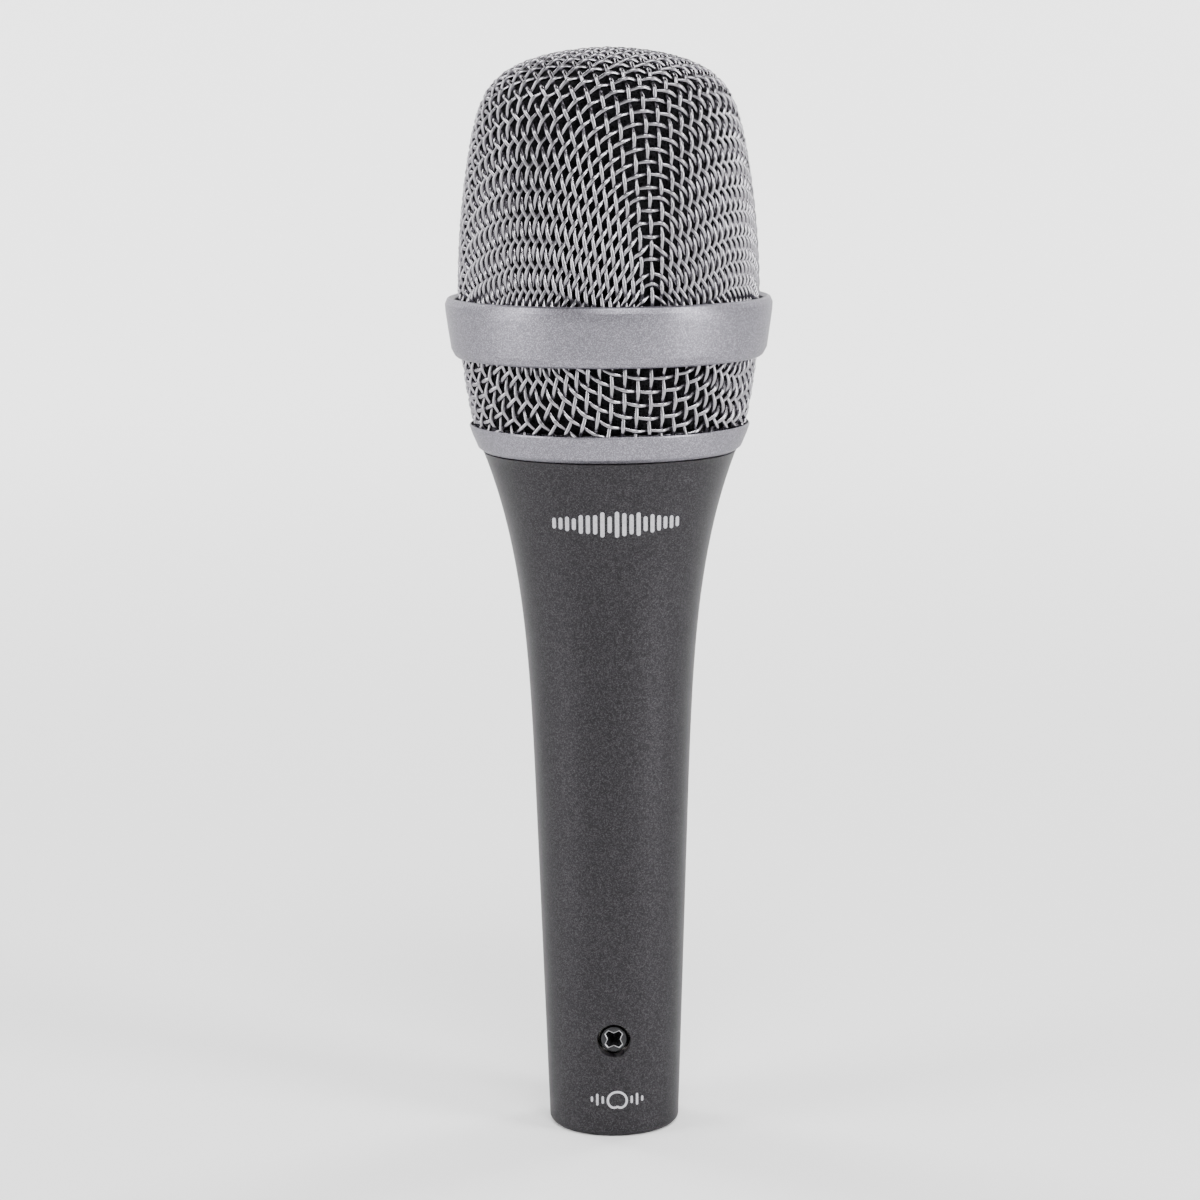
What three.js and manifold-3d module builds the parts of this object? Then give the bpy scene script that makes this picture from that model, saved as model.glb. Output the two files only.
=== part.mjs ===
// A handheld dynamic vocal microphone: tapered metal handle, screw-on wire-mesh head with a centre band,
// rubber-mounted moving-coil capsule and a three-pin connector insert.
// Millimetres, +Z towards the head. The origin is the centre of the connector-end rim; the front faces -Y.

import * as THREE from "three";
import { mergeVertices } from "three/addons/utils/BufferGeometryUtils.js";
import Module from "manifold-3d";

// ---------------------------------------------------------------- driving dimensions

const GAP = 0.3; // clearance left between pieces that touch
const BIG_SIDES = 40; // sides of the large turned pieces
const MID_SIDES = 24; // sides of the capsule pieces
const SMALL_SIDES = 16; // sides of pins, screws and lugs

// Handle: a shallow cone that flares out below the head
const HANDLE_TOP = 122.2;
const END_RADIUS = 11.62;
const TAPER = 0.0333; // radius gained per millimetre of height
const FLARE_START = 50;
const FLARE_RISE = 6.535;
const FLARE_POWER = 3.895;
const HANDLE_WALL = 2.4;
const RIM_ROUND = 1.1;
const SHOULDER_ROUND = 0.4;

// Neck thread that the head screws onto, drawn at its major diameter
const NECK_TOP = 127.6;
const NECK_BORE = 16.2;
const NECK_ROOT = 18.0;
const NECK_THREAD = 18.9;
const THREAD_RELIEF = 0.8;

// Connector end
const SEAT_BORE = 9.75;
const SEAT_DEPTH = 23.2;
const SCREW_HEIGHT = 18;
const SCREW_HOLE = 3.0;
const SHELL_OUTER = 9.45;
const SHELL_INNER = 8.2;
const SHELL_FRONT = 0.6;
const SHELL_FLAT = 9.2; // distance from the axis to the flat under the screw head
const KEYWAY_WIDTH = 3.0;
const KEYWAY_DEPTH = 5.4;
const INSULATOR_FRONT = 14.6;
const INSULATOR_BACK = 20.6;
const PIN_RADIUS = 1.2;
const PIN_TIP = 3.0;
const PIN_END = 26.5;
const PIN_PLACES = [[3.81, 1.99], [-3.81, 1.99], [0, -4.3]];

// Head: collar, lower mesh, centre band and domed upper mesh
const COLLAR_BOTTOM = HANDLE_TOP + GAP;
const COLLAR_TOP = 127.0;
const COLLAR_BORE = NECK_THREAD + GAP;
const MESH_THICKNESS = 1.6; // two wire diameters
const LOWER_MESH_BOTTOM = 126.6;
const LOWER_MESH_TOP = 140.5;
const BAND_BOTTOM = 138.7;
const BAND_TOP = 149.2;
const RIB_RADIUS = 25.0; // inner rib of the band, which both meshes are pressed against
const UPPER_MESH_BOTTOM = 145.5;
const DOME_START = 149.0;
const DOME_TOP = 192.05;
const DOME_RADIUS = 26.44;
const DOME_TAPER = 0.237; // share of the radius lost towards the crown
const DOME_SIDE_POWER = 12.8;
const DOME_CROWN_POWER = 1.755;
const LINER_BOTTOM = 144.5;
const LINER_THICKNESS = 3.0;
const FOAM_GAP = 0.6;
const VENT_FOAM_THICKNESS = 2.0;

// Capsule
const CHAMBER_RADIUS = 13.0;
const CHAMBER_BOTTOM = 104.0;
const CHAMBER_TOP = 136.9;
const CHAMBER_WALL = 1.2;
const HOUSING_RADIUS = 16.4;
const HOUSING_BOTTOM = CHAMBER_TOP + GAP;
const HOUSING_TOP = 164.0;
const HOUSING_WALL = 1.6;
const YOKE_RADIUS = 11.0;
const YOKE_BORE = 9.4;
const YOKE_BOTTOM = 145.5;
const YOKE_FLOOR = 148.0;
const YOKE_TOP = 157.5;
const WEB_BOTTOM = 152.8; // ring inside the housing that holds the yoke
const WEB_TOP = 154.0;
const PORT_COUNT = 8;
const MAGNET_RADIUS = 7.0;
const TOP_PLATE_RADIUS = 7.9;
const COIL_INNER = 8.3;
const COIL_OUTER = 9.0;
const COIL_TOP = 159.2;
const DIAPHRAGM_RADIUS = 13.8;
const DIAPHRAGM_DOME = 8.7;
const DIAPHRAGM_RISE = 2.2;
const DIAPHRAGM_SKIN = 0.35;
const GRID_THICKNESS = 1.6;
const BOARD_RADIUS = 9.0;
const BOARD_THICKNESS = 1.6;
const LUG_PLACE = 5.0;

// Lead wires: a loosely twisted pair from the terminal board down to the pins
const WIRE_RADIUS = 0.55;
const TWIST_RADIUS = 0.85;
const TWIST_TURNS = 2.5;
const TWIST_TOP = 90;
const TWIST_BOTTOM = 36;

// ---------------------------------------------------------------- finishes

const finish = (colour, roughness, metalness) => ({ colour, roughness, metalness });
const GUNMETAL = finish(0x4b4b4d, 0.45, 0.6);
const SILVER_PAINT = finish(0xa5a4ac, 0.4, 0.7);
const WIRE_MESH = finish(0xaaaaaf, 0.35, 0.9);
const BLACK_FOAM = finish(0x17171a, 0.95, 0);
const BLACK_STEEL = finish(0x1c1c1e, 0.4, 0.8);
const MOULDED_PLASTIC = finish(0x242427, 0.5, 0);
const NICKEL = finish(0xc8c6be, 0.25, 1);
const PLATED_STEEL = finish(0x9a9a9c, 0.35, 0.9);
const MAGNET_PLATE = finish(0xb9bbbe, 0.2, 1);
const GREY_FELT = finish(0x55555a, 1, 0);
const COPPER = finish(0xb56a3c, 0.35, 0.9);
const CLEAR_FILM = finish(0xc9cdd2, 0.2, 0);
const SOFT_RUBBER = finish(0x1a1a1a, 0.85, 0);
const GREEN_BOARD = finish(0x2d5a3a, 0.6, 0);
const GOLD = finish(0xd0a84e, 0.3, 1);
const YELLOW_PVC = finish(0xcfa928, 0.5, 0);
const BLUE_PVC = finish(0x2b4f9e, 0.5, 0);

// ---------------------------------------------------------------- shaping helpers

const wasm = await Module();
wasm.setup();

// Six times the signed volume, positive when the faces point out.
function signedVolume(geometry) {
  const place = geometry.attributes.position;
  const index = geometry.index;
  const corners = [new THREE.Vector3(), new THREE.Vector3(), new THREE.Vector3()];
  let total = 0;
  for (let i = 0; i < index.count; i += 3) {
    corners.forEach((corner, k) => corner.fromBufferAttribute(place, index.getX(i + k)));
    total += corners[0].dot(corners[1].cross(corners[2]));
  }
  return total;
}

function facingOut(geometry) {
  if (signedVolume(geometry) > 0) {
    return geometry;
  }
  const index = geometry.index;
  for (let i = 0; i < index.count; i += 3) {
    const second = index.getX(i + 1);
    index.setX(i + 1, index.getX(i + 2));
    index.setX(i + 2, second);
  }
  return geometry;
}

// Turns a profile of [radius, height] points about the Z axis. It starts and ends on the axis.
function turned(profile, sides) {
  const points = profile.map(([radius, height]) => new THREE.Vector2(radius, height));
  return facingOut(new THREE.LatheGeometry(points, sides).rotateX(Math.PI / 2));
}

// Turns a profile that closes on itself away from the axis.
function turnedRing(profile, sides) {
  return turned([...profile, profile[0]], sides);
}

function tubeRing(inner, outer, bottom, top, sides) {
  return turnedRing([[inner, bottom], [outer, bottom], [outer, top], [inner, top]], sides);
}

function disc(radius, bottom, top, sides) {
  return turned([[0, bottom], [radius, bottom], [radius, top], [0, top]], sides);
}

// A closed solid for cutting and joining, made from a geometry's positions alone.
function solid(geometry) {
  const bare = geometry.clone();
  bare.deleteAttribute("normal");
  bare.deleteAttribute("uv");
  const merged = mergeVertices(bare, 1e-4);
  const index = merged.index.array;
  const triangles = [];
  for (let i = 0; i < index.length; i += 3) {
    const [a, b, c] = [index[i], index[i + 1], index[i + 2]];
    if (a !== b && b !== c && c !== a) {
      triangles.push(a, b, c);
    }
  }
  return new wasm.Manifold(new wasm.Mesh({
    numProp: 3,
    vertProperties: new Float32Array(merged.attributes.position.array),
    triVerts: new Uint32Array(triangles),
  }));
}

function geometryOf(body) {
  const mesh = body.getMesh();
  const geometry = new THREE.BufferGeometry();
  geometry.setAttribute("position", new THREE.BufferAttribute(mesh.vertProperties, 3));
  geometry.setIndex(new THREE.BufferAttribute(mesh.triVerts, 1));
  geometry.computeVertexNormals();
  return geometry;
}

// Cuts each tool geometry out of a blank.
function cut(blank, tools) {
  return geometryOf(tools.reduce((body, tool) => body.subtract(solid(tool)), solid(blank)));
}

function uprightCylinder(radius, bottom, top, x, y, sides) {
  return disc(radius, bottom, top, sides).translate(x, y, 0);
}

// A cylinder that lies along Y at the height of the connector screw.
function screwBore(radius, front, back) {
  const bore = new THREE.CylinderGeometry(radius, radius, back - front, 24);
  return bore.translate(0, (front + back) / 2, SCREW_HEIGHT);
}

function box(low, high) {
  const size = low.map((value, axis) => high[axis] - value);
  const middle = low.map((value, axis) => (high[axis] + value) / 2);
  return new THREE.BoxGeometry(...size).translate(...middle);
}

function steps(count) {
  return Array.from({ length: count + 1 }, (_, i) => i / count);
}

const group = new THREE.Group();

function add(name, geometry, look) {
  const material = new THREE.MeshStandardMaterial({
    color: look.colour,
    roughness: look.roughness,
    metalness: look.metalness,
  });
  const mesh = new THREE.Mesh(geometry, material);
  mesh.name = name;
  group.add(mesh);
}

// ---------------------------------------------------------------- handle

function handleRadius(height) {
  const flare = Math.max(0, (height - FLARE_START) / (HANDLE_TOP - FLARE_START));
  return END_RADIUS + TAPER * height + FLARE_RISE * flare ** FLARE_POWER;
}

function handleBody() {
  const rim = steps(3).map((t) => {
    const angle = (t * Math.PI) / 2;
    const radius = handleRadius(RIM_ROUND) - RIM_ROUND * (1 - Math.sin(angle));
    return [radius, RIM_ROUND * (1 - Math.cos(angle))];
  });
  const side = steps(11).slice(1).map((t) => {
    const height = RIM_ROUND + (HANDLE_TOP - SHOULDER_ROUND - RIM_ROUND) * (1 - (1 - t) ** 1.7);
    return [handleRadius(height), height];
  });
  const neck = [
    [handleRadius(HANDLE_TOP) - SHOULDER_ROUND, HANDLE_TOP],
    [NECK_ROOT, HANDLE_TOP],
    [NECK_ROOT, HANDLE_TOP + THREAD_RELIEF],
    [NECK_THREAD, HANDLE_TOP + THREAD_RELIEF + 0.5],
    [NECK_THREAD, NECK_TOP - 0.5],
    [NECK_THREAD - 0.5, NECK_TOP],
    [NECK_BORE, NECK_TOP],
    [NECK_BORE, HANDLE_TOP - 2.6],
  ];
  const hollow = steps(4).map((t) => {
    const height = 117 - (117 - 27) * t;
    return [handleRadius(height) - HANDLE_WALL, height];
  });
  const seat = [
    [8.9, SEAT_DEPTH + 2],
    [8.9, SEAT_DEPTH],
    [SEAT_BORE, SEAT_DEPTH],
    [SEAT_BORE, GAP],
    [SEAT_BORE + GAP, 0],
  ];
  const blank = turnedRing([...rim, ...side, ...neck, ...hollow, ...seat], BIG_SIDES);
  return cut(blank, [screwBore(SCREW_HOLE, -14, -9)]);
}

// ---------------------------------------------------------------- connector insert

function connectorShell() {
  const blank = tubeRing(SHELL_INNER, SHELL_OUTER, SHELL_FRONT, 22.8, BIG_SIDES);
  const half = KEYWAY_WIDTH / 2;
  const keyway = box([-half, 7, 0], [half, 10, SHELL_FRONT + KEYWAY_DEPTH]);
  const flat = box([-4, -10, 14], [4, -SHELL_FLAT, 22]);
  return cut(blank, [keyway, flat, screwBore(1.55, -10, -7)]);
}

function connectorInsulator() {
  const blank = disc(SHELL_INNER - GAP, INSULATOR_FRONT, INSULATOR_BACK, MID_SIDES);
  const pinHoles = PIN_PLACES.map(([x, y]) => (
    uprightCylinder(PIN_RADIUS + GAP, INSULATOR_FRONT - 1, INSULATOR_BACK + 1, x, y, SMALL_SIDES)
  ));
  return cut(blank, [...pinHoles, screwBore(1.55, -9, -6.6)]);
}

// A contact pin with a rounded tip below and a solder cup above.
function contactPin(x, y) {
  const tip = steps(3).map((t) => {
    const angle = (t * Math.PI) / 2;
    return [PIN_RADIUS * Math.sin(angle), PIN_TIP + PIN_RADIUS * (1 - Math.cos(angle))];
  });
  const cup = [
    [PIN_RADIUS, PIN_END],
    [WIRE_RADIUS + GAP, PIN_END],
    [WIRE_RADIUS + GAP, PIN_END - 2.8],
    [0, PIN_END - 3.2],
  ];
  return turned([...tip, ...cup], SMALL_SIDES).translate(x, y, 0);
}

// Pan-head screw along -Y, with a cross recess turned to 45 degrees.
function insertScrew() {
  const seatPlane = SHELL_FLAT + GAP;
  const profile = [
    [0, 6.9],
    [1.25, 6.9],
    [1.25, seatPlane],
    [2.5, seatPlane],
    [2.5, seatPlane + 1.2],
    [2.1, seatPlane + 1.65],
    [0, seatPlane + 1.8],
  ];
  const blank = turned(profile, SMALL_SIDES + 8).rotateX(Math.PI / 2).translate(0, 0, SCREW_HEIGHT);
  const arms = [1, -1].map((turn) => {
    const arm = new THREE.BoxGeometry(2.7, 1.6, 0.6).rotateY((turn * Math.PI) / 4);
    return arm.translate(0, -(seatPlane + 1.9), SCREW_HEIGHT);
  });
  return cut(blank, arms);
}

// ---------------------------------------------------------------- head

class DomeOutline extends THREE.Curve {
  getPoint(t, target = new THREE.Vector2()) {
    const angle = (t ** 3 * Math.PI) / 2;
    const rise = Math.sin(angle) ** (2 / DOME_SIDE_POWER);
    const fullness = Math.max(0, Math.cos(angle)) ** (2 / DOME_CROWN_POWER);
    const radius = DOME_RADIUS * (1 - DOME_TAPER * rise * rise) * fullness;
    return target.set(t === 1 ? 0 : radius, DOME_START + (DOME_TOP - DOME_START) * rise);
  }
}

// Points up the dome from a cylinder's foot to the crown, moved inwards by a depth.
function domeLine(bottom, depth, count) {
  const outline = new DomeOutline();
  const shares = steps(count);
  const line = shares.map((share, i) => {
    const place = outline.getPointAt(share);
    const along = outline.getTangentAt(share);
    const atCrown = i === count;
    const inward = atCrown ? new THREE.Vector2(0, -1) : new THREE.Vector2(-along.y, along.x);
    const point = place.addScaledVector(inward, depth);
    return [atCrown ? 0 : point.x, point.y];
  });
  return [[DOME_RADIUS - depth, bottom], ...line.filter(([radius, height]) => height > bottom + 1)];
}

function domeShell(bottom, outerDepth, thickness, count, sides) {
  const outside = domeLine(bottom, outerDepth, count);
  const inside = domeLine(bottom, outerDepth + thickness, count);
  return turned([...inside.reverse(), ...outside], sides);
}

function lowerMeshRadius(height) {
  const t = (height - 127.5) / 11.5;
  return 24.14 + 1.84 * t + 0.6 * t * (1 - t);
}

// A conical band that follows the lower mesh, from one depth under its surface to another.
function lowerMeshBand(bottom, top, outerDepth, innerDepth) {
  const heights = steps(2).map((t) => bottom + (top - bottom) * t);
  const outside = heights.map((height) => [lowerMeshRadius(height) - outerDepth, height]);
  const inside = heights.map((height) => [lowerMeshRadius(height) - innerDepth, height]);
  return turnedRing([...outside, ...inside.reverse()], BIG_SIDES);
}

function collarRing() {
  const meshSeat = LOWER_MESH_BOTTOM - GAP;
  return turnedRing([
    [COLLAR_BORE, COLLAR_BOTTOM],
    [22.35, COLLAR_BOTTOM],
    [23.1, 122.95],
    [24.1, 125.3],
    [24.58, 126.7],
    [24.48, COLLAR_TOP],
    [24.3, COLLAR_TOP],
    [24.3, meshSeat],
    [22.1, meshSeat],
    [22.1, COLLAR_TOP],
    [COLLAR_BORE, COLLAR_TOP],
  ], BIG_SIDES);
}

function centreBand() {
  return turnedRing([
    [26.45, BAND_BOTTOM],
    [26.75, 139.2],
    [27.65, 140.7],
    [28.1, 143.7],
    [28.5, 146.6],
    [28.6, 148.2],
    [28.3, 148.9],
    [27.7, BAND_TOP],
    [26.95, 148.7],
    [26.8, UPPER_MESH_BOTTOM - GAP],
    [RIB_RADIUS, UPPER_MESH_BOTTOM - GAP],
    [RIB_RADIUS, LOWER_MESH_TOP + GAP],
    [26.45, LOWER_MESH_TOP + GAP],
  ], BIG_SIDES);
}

// ---------------------------------------------------------------- capsule

function rearChamber() {
  const inner = CHAMBER_RADIUS - CHAMBER_WALL;
  return turned([
    [0, CHAMBER_BOTTOM],
    [CHAMBER_RADIUS - 1, CHAMBER_BOTTOM],
    [CHAMBER_RADIUS, CHAMBER_BOTTOM + 1],
    [CHAMBER_RADIUS, CHAMBER_TOP],
    [inner, CHAMBER_TOP],
    [inner, CHAMBER_BOTTOM + CHAMBER_WALL],
    [0, CHAMBER_BOTTOM + CHAMBER_WALL],
  ], MID_SIDES);
}

// Cup with a floor hole into the rear chamber, a web that holds the yoke and ports round the side.
function capsuleHousing() {
  const inner = HOUSING_RADIUS - HOUSING_WALL;
  const floor = HOUSING_BOTTOM + HOUSING_WALL;
  const blank = turnedRing([
    [7, HOUSING_BOTTOM],
    [HOUSING_RADIUS, HOUSING_BOTTOM],
    [HOUSING_RADIUS, HOUSING_TOP],
    [inner, HOUSING_TOP],
    [inner, WEB_TOP],
    [YOKE_RADIUS + GAP, WEB_TOP],
    [YOKE_RADIUS + GAP, WEB_BOTTOM],
    [inner, WEB_BOTTOM],
    [inner, floor],
    [7, floor],
  ], MID_SIDES);
  const ports = steps(PORT_COUNT).slice(1).map((t) => {
    const port = box([HOUSING_RADIUS - 3, -1.1, 147], [HOUSING_RADIUS + 1, 1.1, 151]);
    return port.rotateZ((t + 0.5 / PORT_COUNT) * 2 * Math.PI);
  });
  return cut(blank, ports);
}

function yokeCup() {
  return turned([
    [0, YOKE_BOTTOM],
    [YOKE_RADIUS, YOKE_BOTTOM],
    [YOKE_RADIUS, YOKE_TOP],
    [YOKE_BORE, YOKE_TOP],
    [YOKE_BORE, YOKE_FLOOR],
    [0, YOKE_FLOOR],
  ], MID_SIDES);
}

// Thin film: a centre dome over the coil and a shallow rolled surround.
function diaphragm() {
  const base = COIL_TOP + GAP;
  const skin = steps(3).map((t) => {
    const lift = DIAPHRAGM_RISE * (1 - (1 - t) ** 2);
    return [DIAPHRAGM_DOME * (1 - t), base + lift];
  });
  const surround = steps(3).map((t) => {
    const radius = DIAPHRAGM_RADIUS + (DIAPHRAGM_DOME - DIAPHRAGM_RADIUS) * t;
    return [radius, base + 0.9 * Math.sin(t * Math.PI)];
  });
  const under = [...surround, ...skin.slice(1)];
  const over = under.map(([radius, height]) => [radius, height + DIAPHRAGM_SKIN]).reverse();
  return turned([...over, ...under], MID_SIDES);
}

function frontGrid() {
  const bottom = HOUSING_TOP + GAP;
  const blank = disc(HOUSING_RADIUS, bottom, bottom + GRID_THICKNESS, MID_SIDES);
  const holes = [uprightCylinder(1.9, bottom - 1, bottom + 3, 0, 0, 10)];
  [[6, 5.4], [12, 11]].forEach(([count, radius]) => {
    steps(count).slice(1).forEach((t) => {
      const angle = t * 2 * Math.PI;
      const [x, y] = [radius * Math.cos(angle), radius * Math.sin(angle)];
      holes.push(uprightCylinder(1.9, bottom - 1, bottom + 3, x, y, 10));
    });
  });
  return cut(blank, holes);
}

// Rubber sleeve in the neck with a flange above it and a lip that grips the rear chamber.
function shockMount() {
  const lip = CHAMBER_RADIUS + GAP;
  const sleeve = NECK_BORE - GAP;
  const flange = NECK_TOP + GAP;
  return turnedRing([
    [sleeve - 1.6, 119.9],
    [sleeve, 119.9],
    [sleeve, flange],
    [NECK_ROOT, flange],
    [NECK_ROOT, flange + 1.8],
    [lip + 1.4, flange + 2.6],
    [lip + 1.2, flange + 5.6],
    [lip, flange + 5.6],
    [lip, flange + 0.6],
    [sleeve - 1.6, flange - 1],
  ], MID_SIDES);
}

// ---------------------------------------------------------------- lead wires

// One wire of the twisted pair: side is +1 or -1 for the lug it starts at.
function leadWire(side, pin) {
  const [pinX, pinY] = pin;
  const bottom = PIN_END - 2.2;
  const lugX = side * (LUG_PLACE + 1.5);
  const top = [[lugX, 0, 99.6], [lugX, 0, 97], [side * 4.2, 0, 93.2]];
  const twist = steps(TWIST_TURNS * 6).map((t) => {
    const angle = t * TWIST_TURNS * 2 * Math.PI + (side > 0 ? 0 : Math.PI);
    const height = TWIST_TOP + (TWIST_BOTTOM - TWIST_TOP) * t;
    return [TWIST_RADIUS * Math.cos(angle), TWIST_RADIUS * Math.sin(angle), height];
  });
  const foot = [[pinX * 0.7, pinY * 0.7, 31.5], [pinX, pinY, 28], [pinX, pinY, bottom]];
  const points = [...top, ...twist, ...foot].map(([x, y, z]) => new THREE.Vector3(x, y, z));
  const route = new THREE.CatmullRomCurve3(points, false, "centripetal");
  const section = new THREE.Shape();
  section.absarc(0, 0, WIRE_RADIUS, 0, 2 * Math.PI);
  const tube = new THREE.ExtrudeGeometry(section, { extrudePath: route, steps: 40, curveSegments: 4 });
  return geometryOf(solid(tube));
}

// ---------------------------------------------------------------- assembly

add("handle_body", handleBody(), GUNMETAL);
add("shock_mount", shockMount(), SOFT_RUBBER);
add("xlr_shell", connectorShell(), NICKEL);
add("xlr_insulator", connectorInsulator(), MOULDED_PLASTIC);
PIN_PLACES.forEach(([x, y], i) => add(`contact_pin_${i + 1}`, contactPin(x, y), NICKEL));
add("insert_screw", insertScrew(), BLACK_STEEL);
add("lead_wire_hot", leadWire(1, PIN_PLACES[1]), YELLOW_PVC);
add("lead_wire_cold", leadWire(-1, PIN_PLACES[2]), BLUE_PVC);

add("collar_ring", collarRing(), SILVER_PAINT);
add("lower_grille", lowerMeshBand(LOWER_MESH_BOTTOM, LOWER_MESH_TOP, 0, MESH_THICKNESS), WIRE_MESH);
add("centre_band", centreBand(), SILVER_PAINT);
add("upper_grille", domeShell(UPPER_MESH_BOTTOM, 0, MESH_THICKNESS, 12, BIG_SIDES), WIRE_MESH);

const ventDepth = MESH_THICKNESS + GAP;
add("vent_foam", lowerMeshBand(127.3, 139.5, ventDepth, ventDepth + VENT_FOAM_THICKNESS), BLACK_FOAM);
const linerDepth = MESH_THICKNESS + FOAM_GAP;
add("foam_liner", domeShell(LINER_BOTTOM, linerDepth, LINER_THICKNESS, 9, MID_SIDES), BLACK_FOAM);

add("rear_chamber", rearChamber(), MOULDED_PLASTIC);
add("capsule_housing", capsuleHousing(), MOULDED_PLASTIC);
add("rear_felt_ring", tubeRing(13.2, 14.5, 146, 152, MID_SIDES), GREY_FELT);
add("yoke_cup", yokeCup(), PLATED_STEEL);
add("magnet", disc(MAGNET_RADIUS, YOKE_FLOOR + GAP, 153.5, MID_SIDES), MAGNET_PLATE);
add("top_plate", disc(TOP_PLATE_RADIUS, 153.8, 156.4, MID_SIDES), PLATED_STEEL);
add("front_felt", disc(HOUSING_RADIUS - HOUSING_WALL - GAP, 163, 163.9, MID_SIDES), GREY_FELT);
add("front_grid", frontGrid(), MOULDED_PLASTIC);
const boardTop = CHAMBER_BOTTOM - GAP;
add("terminal_board", disc(BOARD_RADIUS, boardTop - BOARD_THICKNESS, boardTop, MID_SIDES), GREEN_BOARD);
[["hot_lug", 1], ["cold_lug", -1]].forEach(([name, side]) => {
  const lugTop = boardTop - BOARD_THICKNESS - GAP;
  const x = side * LUG_PLACE;
  add(name, box([x - 0.5, -1.2, lugTop - 3.6], [x + 0.5, 1.2, lugTop]), GOLD);
});

add("voice_coil", tubeRing(COIL_INNER, COIL_OUTER, 154.3, COIL_TOP, MID_SIDES), COPPER);
add("diaphragm", diaphragm(), CLEAR_FILM);

export default group;
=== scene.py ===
"""The looks of a handheld dynamic microphone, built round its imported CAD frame.

Metres, +Z towards the mesh head, the marked front faces -Y. Run as a script; it is laid out as an add-on.
"""

import math

import bmesh
import bpy
import numpy as np
from mathutils import Matrix, Vector, noise


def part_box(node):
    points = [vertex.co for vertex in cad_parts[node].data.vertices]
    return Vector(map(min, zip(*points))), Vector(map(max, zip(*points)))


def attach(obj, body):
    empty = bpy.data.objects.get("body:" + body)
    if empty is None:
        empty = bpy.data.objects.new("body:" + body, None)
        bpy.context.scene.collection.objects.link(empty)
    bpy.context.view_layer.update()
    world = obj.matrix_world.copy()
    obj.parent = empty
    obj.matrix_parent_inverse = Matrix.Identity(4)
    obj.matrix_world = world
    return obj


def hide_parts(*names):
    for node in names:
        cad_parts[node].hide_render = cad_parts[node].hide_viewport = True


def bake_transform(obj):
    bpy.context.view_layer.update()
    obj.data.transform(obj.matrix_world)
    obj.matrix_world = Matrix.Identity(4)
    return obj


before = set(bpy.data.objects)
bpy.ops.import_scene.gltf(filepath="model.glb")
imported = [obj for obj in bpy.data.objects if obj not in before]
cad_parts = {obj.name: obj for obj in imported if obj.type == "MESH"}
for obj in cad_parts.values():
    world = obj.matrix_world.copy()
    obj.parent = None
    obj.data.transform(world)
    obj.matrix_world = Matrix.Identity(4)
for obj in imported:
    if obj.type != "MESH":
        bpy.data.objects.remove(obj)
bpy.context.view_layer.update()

bl_info = {
    "name": "Dynamic Microphone",
    "version": (1, 0, 0),
    "blender": (4, 5, 0),
    "location": "3D View > Sidebar > Microphone",
    "description": "Builds a handheld dynamic microphone with a woven wire head round its CAD frame",
    "category": "Mesh",
}

MM = 0.001


def node_span(node):
    """(lowest height, highest height) of a CAD node."""
    low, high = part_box(node)
    return low.z, high.z


UPPER_FOOT, CROWN = node_span("upper_grille")
DOME_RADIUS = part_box("upper_grille")[1].x
LOWER_FOOT, LOWER_HEAD = node_span("lower_grille")
BAND_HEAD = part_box("centre_band")[1].z
SHELL_FOOT, SHELL_HEAD = node_span("xlr_shell")
INSULATOR_FOOT, INSULATOR_HEAD = node_span("xlr_insulator")
PIN_FOOT, PIN_HEAD = node_span("contact_pin_1")
CHAMBER_FOOT, CHAMBER_HEAD = node_span("rear_chamber")
HOUSING_FOOT, HOUSING_HEAD = node_span("capsule_housing")
GRID_FOOT, GRID_HEAD = node_span("front_grid")
MOUNT_FOOT, MOUNT_HEAD = node_span("shock_mount")
SCREW_HEIGHT = sum(node_span("insert_screw")) / 2

HANDLE_TOP = 122.2 * MM  # the shoulder of the handle, just under the collar
SPARE_MESH = 5.5 * MM  # mesh blank that hangs past its trimmed edge while the net is drawn
MESH_DEPTH = 0.8 * MM  # from the outside of a mesh to the middle of its wires
SCREW_HOLE = 3.0 * MM  # radius of the hole in the handle
TAPPED_HOLE = 1.55 * MM  # radius of the holes that take the screw's thread
THREAD_PITCH = 1.0 * MM
NECK_THREAD = (18.3 * MM, 18.95 * MM, 123.4 * MM, 127.1 * MM)  # inner and outer radius, foot, head
COLLAR_THREAD = (18.65 * MM, 19.35 * MM, 122.9 * MM, 126.6 * MM)  # the same for the head's collar
BEVEL_ANGLE = math.radians(35)  # edges that turn by more than this are bevelled


def centre_of(node):
    """The middle of a CAD node's box."""
    low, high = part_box(node)
    return (low + high) / 2


# ---------------------------------------------------------------- outlines


def handle_radius(height):
    """Outer radius of the handle: a shallow cone that flares out below the head."""
    foot_radius, cone_slope = 11.62 * MM, 0.0333
    flare_start, flare_reach, flare_power = 50 * MM, 6.535 * MM, 3.895
    share = max(0.0, (height - flare_start) / (HANDLE_TOP - flare_start))
    return foot_radius + cone_slope * height + flare_reach * share**flare_power


def lower_mesh_radius(height):
    """Outer radius of the lower wire mesh, which widens gently upwards."""
    foot, tall = 127.5 * MM, 11.5 * MM
    foot_radius, widening, belly = 24.14, 1.84, 0.6
    share = (height - foot) / tall
    return (foot_radius + widening * share + belly * share * (1 - share)) * MM


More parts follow.
